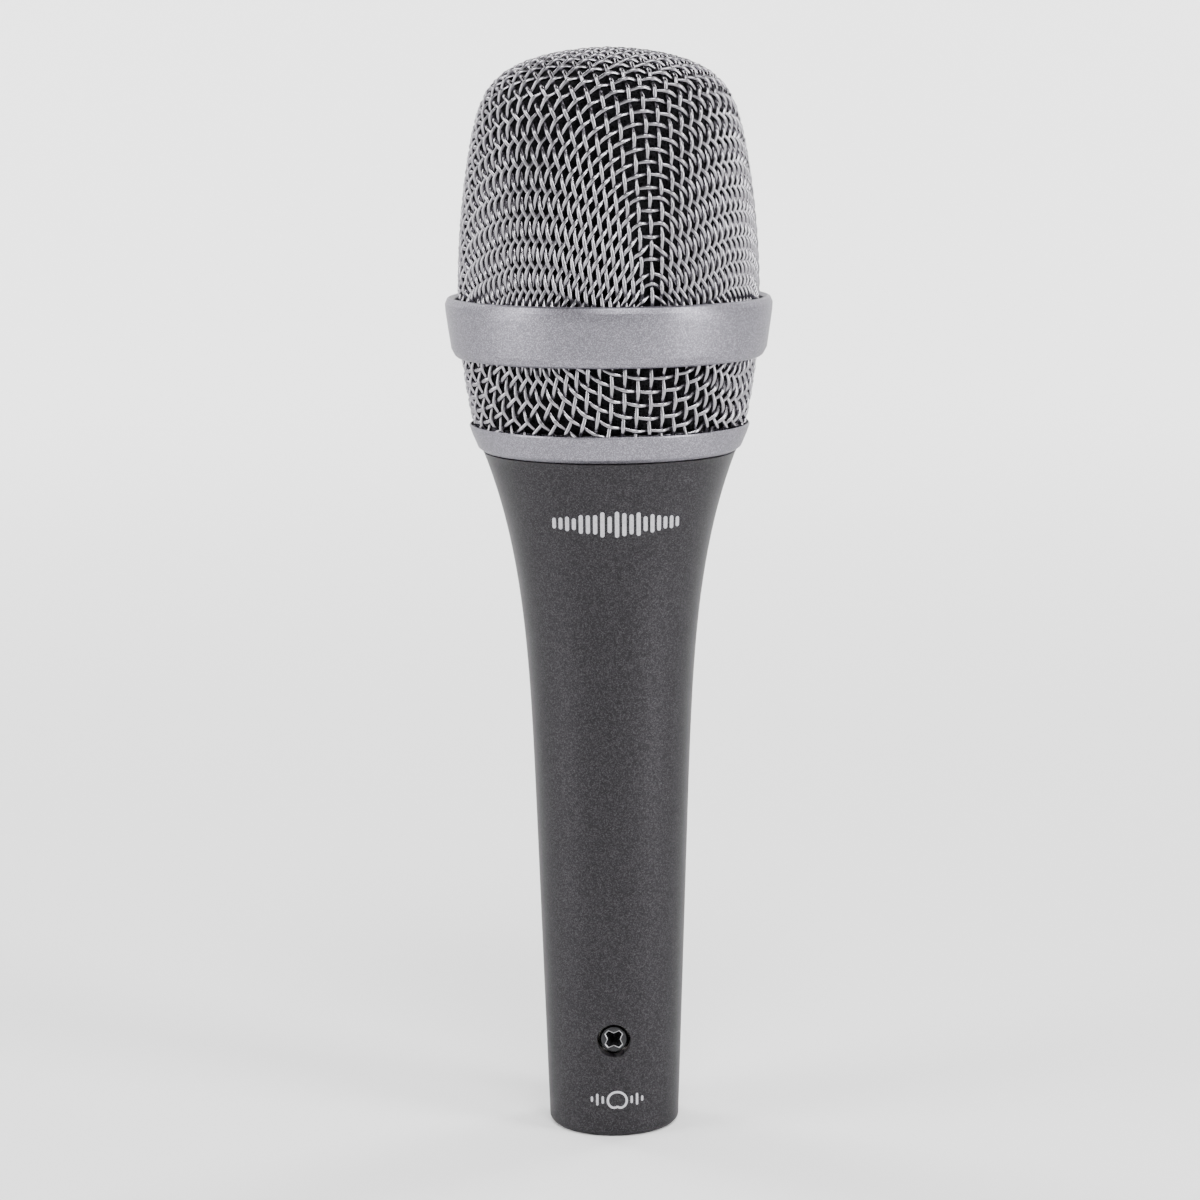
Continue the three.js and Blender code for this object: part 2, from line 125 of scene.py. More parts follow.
def dome_outline(count=1200):
    """(radius, height) rows from under the dome's foot to its crown: a superellipse that tapers upwards."""
    start, taper, side_power, crown_power = 149.0 * MM, 0.237, 12.8, 1.755
    angle = np.linspace(0, 1, count) ** 3 * math.pi / 2
    rise = np.sin(angle) ** (2 / side_power)
    radius = DOME_RADIUS * (1 - taper * rise**2) * np.clip(np.cos(angle), 0, None) ** (2 / crown_power)
    radius[-1] = 0
    rows = np.column_stack([radius, start + (CROWN - start) * rise])
    return np.vstack([[DOME_RADIUS, UPPER_FOOT - SPARE_MESH], rows])


def inset(outline, depth):
    """The outline moved inwards, towards the axis and away from its crown or base."""
    along = np.gradient(outline, axis=0)
    along /= np.linalg.norm(along, axis=1)[:, None]
    moved = outline + depth * np.column_stack([-along[:, 1], along[:, 0]])
    moved[-1, 0] = 0
    return moved


def spaced(outline, count):
    """The outline as count rows at equal distances along it."""
    steps = np.linalg.norm(np.diff(outline, axis=0), axis=1)
    length = np.concatenate([[0], np.cumsum(steps)])
    at = np.linspace(0, length[-1], count)
    return np.column_stack([np.interp(at, length, outline[:, k]) for k in (0, 1)])


def rounded(corners, closed=True):
    """Draws each (radius, height, fillet) corner, in millimetres, as an arc of that fillet."""
    steps = 5
    points = [Vector(corner[:2]) for corner in corners]
    outline = []
    for i, corner in enumerate(corners):
        fillet = corner[2] if len(corner) > 2 else 0
        ends = not closed and i in (0, len(corners) - 1)
        if fillet == 0 or ends:
            outline.append(points[i] * MM)
            continue
        back = points[i - 1] - points[i]
        ahead = points[(i + 1) % len(points)] - points[i]
        half = back.angle(ahead) / 2
        reach = min(fillet / math.tan(half), 0.49 * back.length, 0.49 * ahead.length)
        radius = reach * math.tan(half)
        centre = points[i] + (back.normalized() + ahead.normalized()).normalized() * radius / math.sin(half)
        first = points[i] + back.normalized() * reach - centre
        last = points[i] + ahead.normalized() * reach - centre
        for k in range(steps + 1):
            turn = first.lerp(last, k / steps)
            outline.append((centre + turn.normalized() * radius) * MM)
    return [(point.x, point.y) for point in outline]


# ---------------------------------------------------------------- meshes


def mesh_object(name, points, faces, material):
    """A new piece in the scene, with merged doubles and outward faces."""
    mesh = bpy.data.meshes.new(name)
    mesh.from_pydata([tuple(point) for point in points], [], faces)
    mesh.materials.append(material)
    piece = bpy.data.objects.new(name, mesh)
    bpy.context.scene.collection.objects.link(piece)
    tidy_mesh(piece)
    return piece


def tidy_mesh(piece):
    """Merges doubles, turns the faces outwards and shades them smooth."""
    merge_distance = 0.0001 * MM
    work = bmesh.new()
    work.from_mesh(piece.data)
    bmesh.ops.remove_doubles(work, verts=work.verts, dist=merge_distance)
    bmesh.ops.recalc_face_normals(work, faces=work.faces)
    if work.calc_volume(signed=True) < 0:
        bmesh.ops.reverse_faces(work, faces=work.faces)
    for face in work.faces:
        face.smooth = True
    work.to_mesh(piece.data)
    work.free()


def turned_parts(profile, sides, place=(0, 0)):
    """Points and faces turned about Z. A profile that doesn't end on the axis closes on itself."""
    angles = np.linspace(0, 2 * math.pi, sides, endpoint=False)
    points, rings = [], []
    for radius, height in profile:
        start = len(points)
        if radius < 1e-9:
            points.append((place[0], place[1], height))
            rings.append([start] * sides)
            continue
        for angle in angles:
            points.append((place[0] + radius * math.cos(angle), place[1] + radius * math.sin(angle), height))
        rings.append(list(range(start, start + sides)))
    pairs = list(zip(rings, rings[1:]))
    if profile[0][0] > 1e-9 or profile[-1][0] > 1e-9:
        pairs.append((rings[-1], rings[0]))
    faces = []
    for low, high in pairs:
        for k in range(sides):
            after = (k + 1) % sides
            face = [low[k], low[after], high[after], high[k]]
            face = [v for i, v in enumerate(face) if v not in face[:i]]
            if len(face) > 2:
                faces.append(face)
    return points, faces


def turned(name, profile, sides, material, place=(0, 0)):
    """A new piece turned about Z."""
    points, faces = turned_parts(profile, sides, place)
    return mesh_object(name, points, faces, material)


def joined(name, parts, material):
    """One mesh object from several closed (points, faces) parts."""
    points, faces = [], []
    for part_points, part_faces in parts:
        start = len(points)
        points.extend(part_points)
        faces.extend([[start + v for v in face] for face in part_faces])
    return mesh_object(name, points, faces, material)


def apply_modifiers(piece):
    """Makes the evaluated shape the piece's own plain mesh."""
    evaluated = piece.evaluated_get(bpy.context.evaluated_depsgraph_get())
    mesh = bpy.data.meshes.new_from_object(evaluated)
    mesh.name = piece.name
    piece.modifiers.clear()
    piece.data = mesh


def merge_slivers(piece):
    """Closes the slivers that a cut or a bevel leaves."""
    sliver = 0.001 * MM
    work = bmesh.new()
    work.from_mesh(piece.data)
    bmesh.ops.remove_doubles(work, verts=work.verts, dist=sliver)
    work.to_mesh(piece.data)
    work.free()


def carve(piece, cutter):
    """Cuts the cutter's volume out of the piece and removes the cutter."""
    cut = piece.modifiers.new("Cut", "BOOLEAN")
    cut.operation = "DIFFERENCE"
    cut.solver = "EXACT"
    cut.object = cutter
    apply_modifiers(piece)
    merge_slivers(piece)
    bpy.data.objects.remove(cutter)


def soften_edges(piece, width, segments=2, chosen=None, wear_and_highlight=None):
    """Bevels the piece's sharp edges, or only those whose middle passes the chosen test.

    The wear-and-highlight finish, where one is given, shows on the bevels: partly bare metal worn at the
    edges, partly a painted highlight along them.
    """
    bevel = piece.modifiers.new("Soft edges", "BEVEL")
    bevel.width = width
    bevel.segments = segments
    bevel.limit_method = "ANGLE"
    bevel.angle_limit = BEVEL_ANGLE
    # lighter finish on the bevels: partly edge wear, partly a painted highlight
    if wear_and_highlight is not None:
        piece.data.materials.append(wear_and_highlight)
        bevel.material = 1
        bevel.use_clamp_overlap = False
    if chosen is not None:
        bevel.limit_method = "WEIGHT"
        weights = piece.data.attributes.new("bevel_weight_edge", "FLOAT", "EDGE")
        work = bmesh.new()
        work.from_mesh(piece.data)
        for edge in work.edges:
            middle = (edge.verts[0].co + edge.verts[1].co) / 2
            sharp = len(edge.link_faces) == 2 and edge.calc_face_angle() > BEVEL_ANGLE
            weights.data[edge.index].value = float(sharp and chosen(middle))
        work.free()
    apply_modifiers(piece)
    merge_slivers(piece)


def mark_creases(piece, angle):
    """Shades the piece smooth, apart from edges that turn by more than the angle in degrees."""
    work = bmesh.new()
    work.from_mesh(piece.data)
    for face in work.faces:
        face.smooth = True
    for edge in work.edges:
        edge.smooth = len(edge.link_faces) != 2 or edge.calc_face_angle() < math.radians(angle)
    work.to_mesh(piece.data)
    work.free()


def place_piece(piece, body, slot, *nodes):
    """Hands a finished piece to the frame: attaches it to the body it rides on and hides the CAD nodes it
    stands for. The slot is not used.
    """
    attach(piece, body)
    if nodes:
        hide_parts(*nodes)


def place_creased(piece, body, slot, *nodes, angle=38):
    """Marks the creases of a finished piece and hands it to the frame."""
    mark_creases(piece, angle)
    place_piece(piece, body, slot, *nodes)


def stretch_piece(piece, slot, node, low, high):
    """Hands over a flexible piece: hides the CAD node it stands for and bakes its placement into its mesh.
    The slot and the two heights are not used.
    """
    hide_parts(node)
    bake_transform(piece)


def cylinder_parts(radius, low, high, sides, axis="Z", place=(0, 0, 0)):
    """A closed cylinder as (points, faces), along Z or, for a bore through the front, along Y."""
    points, faces = turned_parts([(0, low), (radius, low), (radius, high), (0, high)], sides)
    if axis == "Y":
        points = [(x, z, y) for x, y, z in points]
    shifted = [tuple(np.add(point, place)) for point in points]
    return shifted, faces


def ribbon_faces(count):
    """Faces of a closed ribbon of count sections, each with four points."""
    faces = []
    for i in range(count - 1):
        for k in range(4):
            a, b = 4 * i + k, 4 * i + (k + 1) % 4
            faces.append([a, b, b + 4, a + 4])
    last = 4 * (count - 1)
    return faces + [[0, 1, 2, 3], [last + 3, last + 2, last + 1, last]]


def helix_parts(inner, outer, low, high, inside=False):
    """A closed screw-thread ridge; an inside thread points towards the axis."""
    per_turn = 72
    turns = (high - low) / THREAD_PITCH
    count = int(turns * per_turn)
    root, crest = (outer, inner) if inside else (inner, outer)
    points = []
    for i in range(count + 1):
        share = i / count
        fade = min(1.0, share * turns * 4, (1 - share) * turns * 4)
        angle = 2 * math.pi * turns * share
        height = low + (high - low) * share
        for radius, shift in ((root, -0.42), (crest, -0.08), (crest, 0.08), (root, 0.42)):
            if radius == crest:
                radius = root + (crest - root) * fade
            at = height + shift * THREAD_PITCH
            points.append((radius * math.cos(angle), radius * math.sin(angle), at))
    return points, ribbon_faces(count + 1)


# ---------------------------------------------------------------- drawn wire net


class DrawnNet:
    """A plain-woven square net pressed over a surface of turn, as a deep-drawn wire cup is.

    Crossings keep their pitch along each wire and stay on the surface. Wires that lean together stop at a
    locking angle, and their stiffness keeps them from kinking.
    """

    def __init__(self, outline, pitch, lock_angle, stiffness, rounds, seed, crush):
        """Draws the net. The outline's rows run from the pole outwards; crush slides single crossings."""
        steps = np.linalg.norm(np.diff(outline, axis=0), axis=1)
        length = np.concatenate([[0], np.cumsum(steps)])
        self.at = np.linspace(0, length[-1], len(outline))
        self.radius = np.interp(self.at, length, outline[:, 0])
        self.height = np.interp(self.at, length, outline[:, 1])
        self.radius_slope = np.gradient(self.radius, self.at)
        self.height_slope = np.gradient(self.height, self.at)
        self.pitch = pitch
        self.lay_flat(length[-1] - 0.3 * SPARE_MESH)
        self.relax(lock_angle, stiffness, rounds)
        self.disturb(crush, seed)

    def lay_flat(self, reach):
        """Lays the flat net's crossings on the surface by their distance from the pole."""
        corner_trim, corner_stretch = 0.18, 0.12
        half = int(reach / self.pitch) + 1
        count = np.arange(-half, half + 1)
        row, column = np.meshgrid(count, count, indexing="ij")
        distance = np.hypot(row, column) * self.pitch
        bearing = np.arctan2(column, row)
        lean = np.abs(np.sin(2 * bearing))
        kept = distance <= reach / (1 + corner_trim * lean)
        self.index = -np.ones(row.shape, int)
        self.index[kept] = np.arange(kept.sum())
        self.along = (distance * (1 + corner_stretch * lean * distance / reach))[kept]
        self.points = self.surface(self.along, bearing[kept])

    def surface(self, along, bearing):
        """Points on the surface at a distance from the pole and a bearing round the axis."""
        radius = np.interp(along, self.at, self.radius)
        height = np.interp(along, self.at, self.height)
        return np.column_stack([radius * np.cos(bearing), radius * np.sin(bearing), height])

    def settle(self):
        """Moves each crossing to the nearest point of the surface."""
        outward = np.hypot(self.points[:, 0], self.points[:, 1])
        for _ in range(2):
            radius = np.interp(self.along, self.at, self.radius)
            height = np.interp(self.along, self.at, self.height)
            step = (outward - radius) * np.interp(self.along, self.at, self.radius_slope)
            step += (self.points[:, 2] - height) * np.interp(self.along, self.at, self.height_slope)
            self.along = np.clip(self.along + step, 0, self.at[-1])
        bearing = np.arctan2(self.points[:, 1], self.points[:, 0])
        self.points = self.surface(self.along, bearing)

    def chains(self, *shifts):
        """Rows of crossings found by stepping through the grid by each (row, column) shift."""
        rows, columns = self.index.shape
        tall, wide = max(s[0] for s in shifts), max(s[1] for s in shifts)
        parts = [self.index[r:rows - tall + r, c:columns - wide + c].ravel() for r, c in shifts]
        table = np.column_stack(parts)
        return table[(table >= 0).all(axis=1)]

    def spread(self, rows, moves):
        """Adds each row's move to its crossing."""
        total = np.zeros_like(self.points)
        for k in range(3):
            total[:, k] = np.bincount(rows, moves[:, k], len(self.points))
        return total

    def disturb(self, crush, seed):
        """Slides chosen crossings towards the pole and shifts every crossing a little at random."""
        unevenness = 0.012 * self.pitch
        bearing = np.arctan2(self.points[:, 1], self.points[:, 0])
        middle = self.index.shape[0] // 2
        for (row, column), slide in crush.items():
            for side in {column, -column}:
                self.along[self.index[middle + row, middle + side]] -= slide
        self.points = self.surface(self.along, bearing)
        shake = np.random.default_rng(seed).normal(0, unevenness, self.points.shape)
        self.points = self.points + shake
        self.settle()

    def relax(self, lock_angle, stiffness, rounds):
        """Evens out the pitch along the wires, opens cells that lean too far and straightens kinks."""
        haste, opening = 1.6, 0.25
        wires = np.vstack([self.chains((0, 0), (1, 0)), self.chains((0, 0), (0, 1))])
        diagonals = np.vstack([self.chains((0, 0), (1, 1)), self.chains((1, 0), (0, 1))])
        bends = np.vstack([self.chains((0, 0), (1, 0), (2, 0)), self.chains((0, 0), (0, 1), (0, 2))])
        shortest = 2 * self.pitch * math.sin(lock_angle / 2)
        shared = np.bincount(wires.ravel(), minlength=len(self.points))[:, None]
        for _ in range(rounds):
            across = self.points[wires[:, 1]] - self.points[wires[:, 0]]
            length = np.linalg.norm(across, axis=1)
            pull = across * (0.5 * (length - self.pitch) / length)[:, None]
            drawn = self.spread(wires[:, 0], pull) - self.spread(wires[:, 1], pull)
            self.points = self.points + haste * drawn / shared
            across = self.points[diagonals[:, 1]] - self.points[diagonals[:, 0]]
            length = np.linalg.norm(across, axis=1)
            push = across * (opening * np.minimum(length - shortest, 0) / length)[:, None]
            self.points = self.points + self.spread(diagonals[:, 0], push)
            self.points = self.points - self.spread(diagonals[:, 1], push)
            outer = self.points[bends[:, 0]] + self.points[bends[:, 2]]
            sag = outer / 2 - self.points[bends[:, 1]]
            eased = self.spread(bends[:, 1], sag)
            eased -= 0.5 * (self.spread(bends[:, 0], sag) + self.spread(bends[:, 2], sag))
            self.points = self.points + stiffness * eased
            self.settle()

    def away(self):
        """The surface's normals at the crossings, pointing away from the axis and the pole."""
        radius_slope = np.interp(self.along, self.at, self.radius_slope)
        height_slope = np.interp(self.along, self.at, self.height_slope)
        bearing = np.arctan2(self.points[:, 1], self.points[:, 0])
        up = -radius_slope * np.sign(height_slope.sum())
        out = np.abs(height_slope)
        return np.column_stack([out * np.cos(bearing), out * np.sin(bearing), up])

    def wires(self, family, low, high, turn):
        """Points, edges, normals and over-or-under signs of one family of wires, cut at two heights."""
        shortest_stub = 0.15
        edges = self.chains((0, 0), (1, 0)) if family == 0 else self.chains((0, 0), (0, 1))
        rows, columns = np.nonzero(self.index >= 0)
        sign = np.zeros(len(self.points))
        sign[self.index[rows, columns]] = np.where((rows + columns + family) % 2, 1.0, -1.0)
        points, away = list(self.points), list(self.away())
        sides, kept = list(sign), []
        for a, b in edges:
            inside = [low < points[v][2] < high for v in (a, b)]
            if all(inside):
                kept.append((a, b))
            elif any(inside):
                stay, gone = (a, b) if inside[0] else (b, a)
                limit = low if points[gone][2] <= low else high
                share = (limit - points[stay][2]) / (points[gone][2] - points[stay][2])
                if share < shortest_stub:
                    continue
                points.append(points[stay] + (points[gone] - points[stay]) * share)
                away.append(away[stay])
                sides.append(sides[stay] * math.cos(math.pi * share))
                kept.append((stay, len(points) - 1))
        turning = np.array(Matrix.Rotation(turn, 3, "Z"))
        used = sorted({v for edge in kept for v in edge})
        new = {v: i for i, v in enumerate(used)}
        return (
            np.array(points)[used] @ turning.T,
            [(new[a], new[b]) for a, b in kept],
            np.array(away)[used] @ turning.T,
            np.array(sides)[used],
        )


# ---------------------------------------------------------------- geometry node trees


def woven_wire_tree():
    """Crimps each chain of crossings over and under its neighbours and gives it a round section."""
    tree = bpy.data.node_groups.new("Woven wire", "GeometryNodeTree")
    sockets = tree.interface
    sockets.new_socket("Crossings", in_out="INPUT", socket_type="NodeSocketGeometry")
    radius = sockets.new_socket("Wire radius", in_out="INPUT", socket_type="NodeSocketFloat")
    radius.subtype = "DISTANCE"
    crimp = sockets.new_socket("Crimp height", in_out="INPUT", socket_type="NodeSocketFloat")
    crimp.subtype = "DISTANCE"
    sockets.new_socket("Steps per cell", in_out="INPUT", socket_type="NodeSocketInt")
    sockets.new_socket("Sides", in_out="INPUT", socket_type="NodeSocketInt")
    sockets.new_socket("Finish", in_out="INPUT", socket_type="NodeSocketMaterial")
    sockets.new_socket("Wires", in_out="OUTPUT", socket_type="NodeSocketGeometry")
    nodes, links = tree.nodes, tree.links

    given = nodes.new("NodeGroupInput")
    given.label = "Crossings and sizes"
    away = nodes.new("GeometryNodeInputNamedAttribute")
    away.label = "Surface normal at a crossing"
    away.data_type = "FLOAT_VECTOR"
    away.inputs["Name"].default_value = "away"
    side = nodes.new("GeometryNodeInputNamedAttribute")
    side.label = "Over or under"
    side.data_type = "FLOAT"
    side.inputs["Name"].default_value = "over"
    height = nodes.new("ShaderNodeMath")
    height.label = "Crimp at this crossing"
    height.operation = "MULTIPLY"
    offset = nodes.new("ShaderNodeVectorMath")
    offset.label = "Lift off the middle surface"
    offset.operation = "SCALE"
    lift = nodes.new("GeometryNodeSetPosition")
    lift.label = "Weave"
    chain = nodes.new("GeometryNodeMeshToCurve")
    chain.label = "One curve per wire"
    smooth = nodes.new("GeometryNodeCurveSplineType")
    smooth.label = "Spring-bent wire"
    smooth.spline_type = "CATMULL_ROM"
    steps = nodes.new("GeometryNodeSetSplineResolution")
    steps.label = "Steps per cell"
    section = nodes.new("GeometryNodeCurvePrimitiveCircle")
    section.label = "Round section"
    sweep = nodes.new("GeometryNodeCurveToMesh")
    sweep.label = "Solid wire"
    sweep.inputs["Fill Caps"].default_value = True
    shade = nodes.new("GeometryNodeSetShadeSmooth")
    shade.label = "Smooth shading"
    real = nodes.new("GeometryNodeRealizeInstances")
    real.label = "Plain geometry"
    paint = nodes.new("GeometryNodeSetMaterial")
    paint.label = "Wire finish"
    result = nodes.new("NodeGroupOutput")
    result.label = "Wires"

    weave = nodes.new("NodeFrame")
    weave.label = "Over and under"
    for node in (away, side, height, offset, lift):
        node.parent = weave
    solid = nodes.new("NodeFrame")
    solid.label = "Solid wire"
    for node in (chain, smooth, steps, section, sweep, shade):
        node.parent = solid
    line = (given, away, side, height, offset, lift, chain, smooth, steps, section, sweep, shade, real, paint)
    for column, node in enumerate((*line, result)):
        node.location = (200 * column, -160 * (column % 3))

    links.new(side.outputs["Attribute"], height.inputs[0])
    links.new(given.outputs["Crimp height"], height.inputs[1])
    links.new(away.outputs["Attribute"], offset.inputs[0])
    links.new(height.outputs["Value"], offset.inputs["Scale"])
    links.new(given.outputs["Crossings"], lift.inputs["Geometry"])
    links.new(offset.outputs["Vector"], lift.inputs["Offset"])
    links.new(lift.outputs["Geometry"], chain.inputs["Mesh"])
    links.new(chain.outputs["Curve"], smooth.inputs["Curve"])
    links.new(smooth.outputs["Curve"], steps.inputs["Geometry"])
    links.new(given.outputs["Steps per cell"], steps.inputs["Resolution"])
    links.new(given.outputs["Wire radius"], section.inputs["Radius"])
    links.new(given.outputs["Sides"], section.inputs["Resolution"])
    links.new(steps.outputs["Geometry"], sweep.inputs["Curve"])
    links.new(section.outputs["Curve"], sweep.inputs["Profile Curve"])
    links.new(sweep.outputs["Mesh"], shade.inputs["Geometry"])
    links.new(shade.outputs["Geometry"], real.inputs["Geometry"])
    links.new(real.outputs["Geometry"], paint.inputs["Geometry"])
    links.new(given.outputs["Finish"], paint.inputs["Material"])
    links.new(paint.outputs["Geometry"], result.inputs["Wires"])
    return tree


def run_tree(piece, tree, **values):
    """Runs a tree on the piece with its inputs set by identifier, and keeps the plain result."""
    modifier = piece.modifiers.new(tree.name, "NODES")
    modifier.node_group = tree
    for item in tree.interface.items_tree:
        key = item.name.lower().replace(" ", "_")
        if item.item_type == "SOCKET" and item.in_out == "INPUT" and key in values:
            modifier[item.identifier] = values[key]
    piece.update_tag()
    bpy.context.view_layer.update()
    apply_modifiers(piece)


def wire_piece(name, points, edges, away, over, material, **sizes):
    """Solid crimped wires along chains of crossings."""
    mesh = bpy.data.meshes.new(name)
    mesh.from_pydata([tuple(point) for point in points], [tuple(map(int, edge)) for edge in edges], [])
    mesh.attributes.new("away", "FLOAT_VECTOR", "POINT").data.foreach_set("vector", np.ravel(away))
    mesh.attributes.new("over", "FLOAT", "POINT").data.foreach_set("value", np.ravel(over))
    piece = bpy.data.objects.new(name, mesh)
    bpy.context.scene.collection.objects.link(piece)
    run_tree(piece, woven_wire_tree(), finish=material, **sizes)
    return piece


# ---------------------------------------------------------------- materials


def set_out(*groups):
    """Gives each (frame, nodes) group its own row and each node its place in it."""
    for row, (holder, nodes) in enumerate(groups):
        for column, node in enumerate(nodes):
            node.location = (220 * column, -420 * row)
            node.parent = holder


def blank_material(name):
    """A new material without nodes, with its nodes and links to fill in."""
    material = bpy.data.materials.new(name)
    material.use_nodes = True
    material.node_tree.nodes.clear()
    return material, material.node_tree.nodes, material.node_tree.links


def metallic_paint(name, colour, flake_colour, metallic, roughness, edge, flake_scale, flake_share):
    """Sprayed paint with metal flake and slight orange peel."""
    material, nodes, links = blank_material(name)
    place = nodes.new("ShaderNodeTexCoord")
    place.label = "Place on the piece"
    flakes = nodes.new("ShaderNodeTexVoronoi")
    flakes.label = "Metal flakes"
    flakes.inputs["Scale"].default_value = flake_scale
    pick = nodes.new("ShaderNodeValToRGB")
    pick.label = "Flakes that catch the light"
    pick.color_ramp.elements[0].position = 1 - flake_share
    clouds = nodes.new("ShaderNodeTexNoise")
    clouds.label = "Clouding of the spray"
    clouds.inputs["Scale"].default_value = flake_scale
    clouds.inputs["Detail"].default_value = 4
    depth = nodes.new("ShaderNodeValToRGB")
    depth.label = "Light and dark paint"
    depth.color_ramp.elements[0].position = 0.35
    depth.color_ramp.elements[0].color = (*(0.82 * c for c in colour), 1)
    depth.color_ramp.elements[1].position = 0.65
    depth.color_ramp.elements[1].color = (*(min(1, 1.18 * c) for c in colour), 1)
    mix = nodes.new("ShaderNodeMix")
    mix.label = "Paint with flakes"
    mix.data_type = "RGBA"
    mix.inputs["B"].default_value = (*flake_colour, 1)
    wear = nodes.new("ShaderNodeTexNoise")
    wear.label = "Handling marks"
    wear.inputs["Scale"].default_value = 160
    wear.inputs["Detail"].default_value = 6
    gloss = nodes.new("ShaderNodeMapRange")
    gloss.label = "Roughness with handling"
    gloss.inputs["To Min"].default_value = roughness - 0.02
    gloss.inputs["To Max"].default_value = roughness + 0.04
    peel = nodes.new("ShaderNodeTexNoise")
    peel.label = "Orange peel"
    peel.inputs["Scale"].default_value = flake_scale / 2
    peel.inputs["Detail"].default_value = 3
    bump = nodes.new("ShaderNodeBump")
    bump.label = "Grain relief"
    bump.inputs["Strength"].default_value = 0.25
    bump.inputs["Distance"].default_value = 0.02 * MM
    surface = nodes.new("ShaderNodeBsdfPrincipled")
    surface.label = "Painted metal"
    surface.inputs["Metallic"].default_value = metallic
    surface.inputs["Specular Tint"].default_value = (edge, edge, edge, 1)
    output = nodes.new("ShaderNodeOutputMaterial")
    output.label = "Surface"
    colouring = nodes.new("NodeFrame")
    colouring.label = "Flake and colour"
    relief = nodes.new("NodeFrame")
    relief.label = "Gloss and relief"
    shading = nodes.new("NodeFrame")
    shading.label = "Surface"
    set_out(
        (colouring, (place, flakes, pick, clouds, depth, mix)),
        (relief, (wear, gloss, peel, bump)),
        (shading, (surface, output)),
    )
    links.new(place.outputs["Object"], flakes.inputs["Vector"])
    links.new(place.outputs["Object"], clouds.inputs["Vector"])
    links.new(place.outputs["Object"], wear.inputs["Vector"])
    links.new(place.outputs["Object"], peel.inputs["Vector"])
    links.new(flakes.outputs["Color"], pick.inputs["Fac"])
    links.new(clouds.outputs["Fac"], depth.inputs["Fac"])
    links.new(pick.outputs["Color"], mix.inputs["Factor"])
    links.new(depth.outputs["Color"], mix.inputs["A"])
    links.new(mix.outputs["Result"], surface.inputs["Base Color"])
    links.new(wear.outputs["Fac"], gloss.inputs["Value"])
    links.new(gloss.outputs["Result"], surface.inputs["Roughness"])
    links.new(peel.outputs["Fac"], bump.inputs["Height"])
    links.new(bump.outputs["Normal"], surface.inputs["Normal"])
    links.new(surface.outputs["BSDF"], output.inputs["Surface"])
    return material


def plated_metal(name, colour, roughness, mottle, scratch_scale, edge=1.0, metallic=1.0):
    """Bare or plated metal with faint mottling and fine drawing marks."""
    material, nodes, links = blank_material(name)
    place = nodes.new("ShaderNodeTexCoord")
    place.label = "Place on the piece"
    mottling = nodes.new("ShaderNodeTexNoise")
    mottling.label = "Mottled plating"
    mottling.inputs["Scale"].default_value = mottle
    mottling.inputs["Detail"].default_value = 5
    tone = nodes.new("ShaderNodeValToRGB")
    tone.label = "Light and dark plating"
    tone.color_ramp.elements[0].position = 0.3
    tone.color_ramp.elements[0].color = (*(0.8 * c for c in colour), 1)
    tone.color_ramp.elements[1].position = 0.7
    tone.color_ramp.elements[1].color = (*(min(1, 1.08 * c) for c in colour), 1)
    gloss = nodes.new("ShaderNodeMapRange")
    gloss.label = "Uneven polish"
    gloss.inputs["To Min"].default_value = roughness - 0.06
    gloss.inputs["To Max"].default_value = roughness + 0.08
    scratches = nodes.new("ShaderNodeTexNoise")
    scratches.label = "Fine drawing marks"
    scratches.inputs["Scale"].default_value = scratch_scale
    scratches.inputs["Detail"].default_value = 2
    bump = nodes.new("ShaderNodeBump")
    bump.label = "Mark relief"
    bump.inputs["Strength"].default_value = 0.2
    bump.inputs["Distance"].default_value = 0.01 * MM
    surface = nodes.new("ShaderNodeBsdfPrincipled")
    surface.label = "Metal"
    surface.inputs["Metallic"].default_value = metallic
    surface.inputs["Specular Tint"].default_value = (edge, edge, edge, 1)
    output = nodes.new("ShaderNodeOutputMaterial")
    output.label = "Surface"
    colouring = nodes.new("NodeFrame")
    colouring.label = "Plating colour"
    relief = nodes.new("NodeFrame")
    relief.label = "Polish and marks"
    shading = nodes.new("NodeFrame")
    shading.label = "Surface"
    set_out(
        (colouring, (place, mottling, tone)),
        (relief, (gloss, scratches, bump)),
        (shading, (surface, output)),
    )
    links.new(place.outputs["Object"], mottling.inputs["Vector"])
    links.new(place.outputs["Object"], scratches.inputs["Vector"])
    links.new(mottling.outputs["Fac"], tone.inputs["Fac"])
    links.new(mottling.outputs["Fac"], gloss.inputs["Value"])
    links.new(tone.outputs["Color"], surface.inputs["Base Color"])
    links.new(gloss.outputs["Result"], surface.inputs["Roughness"])
    links.new(scratches.outputs["Fac"], bump.inputs["Height"])
    links.new(bump.outputs["Normal"], surface.inputs["Normal"])
    links.new(surface.outputs["BSDF"], output.inputs["Surface"])
    return material


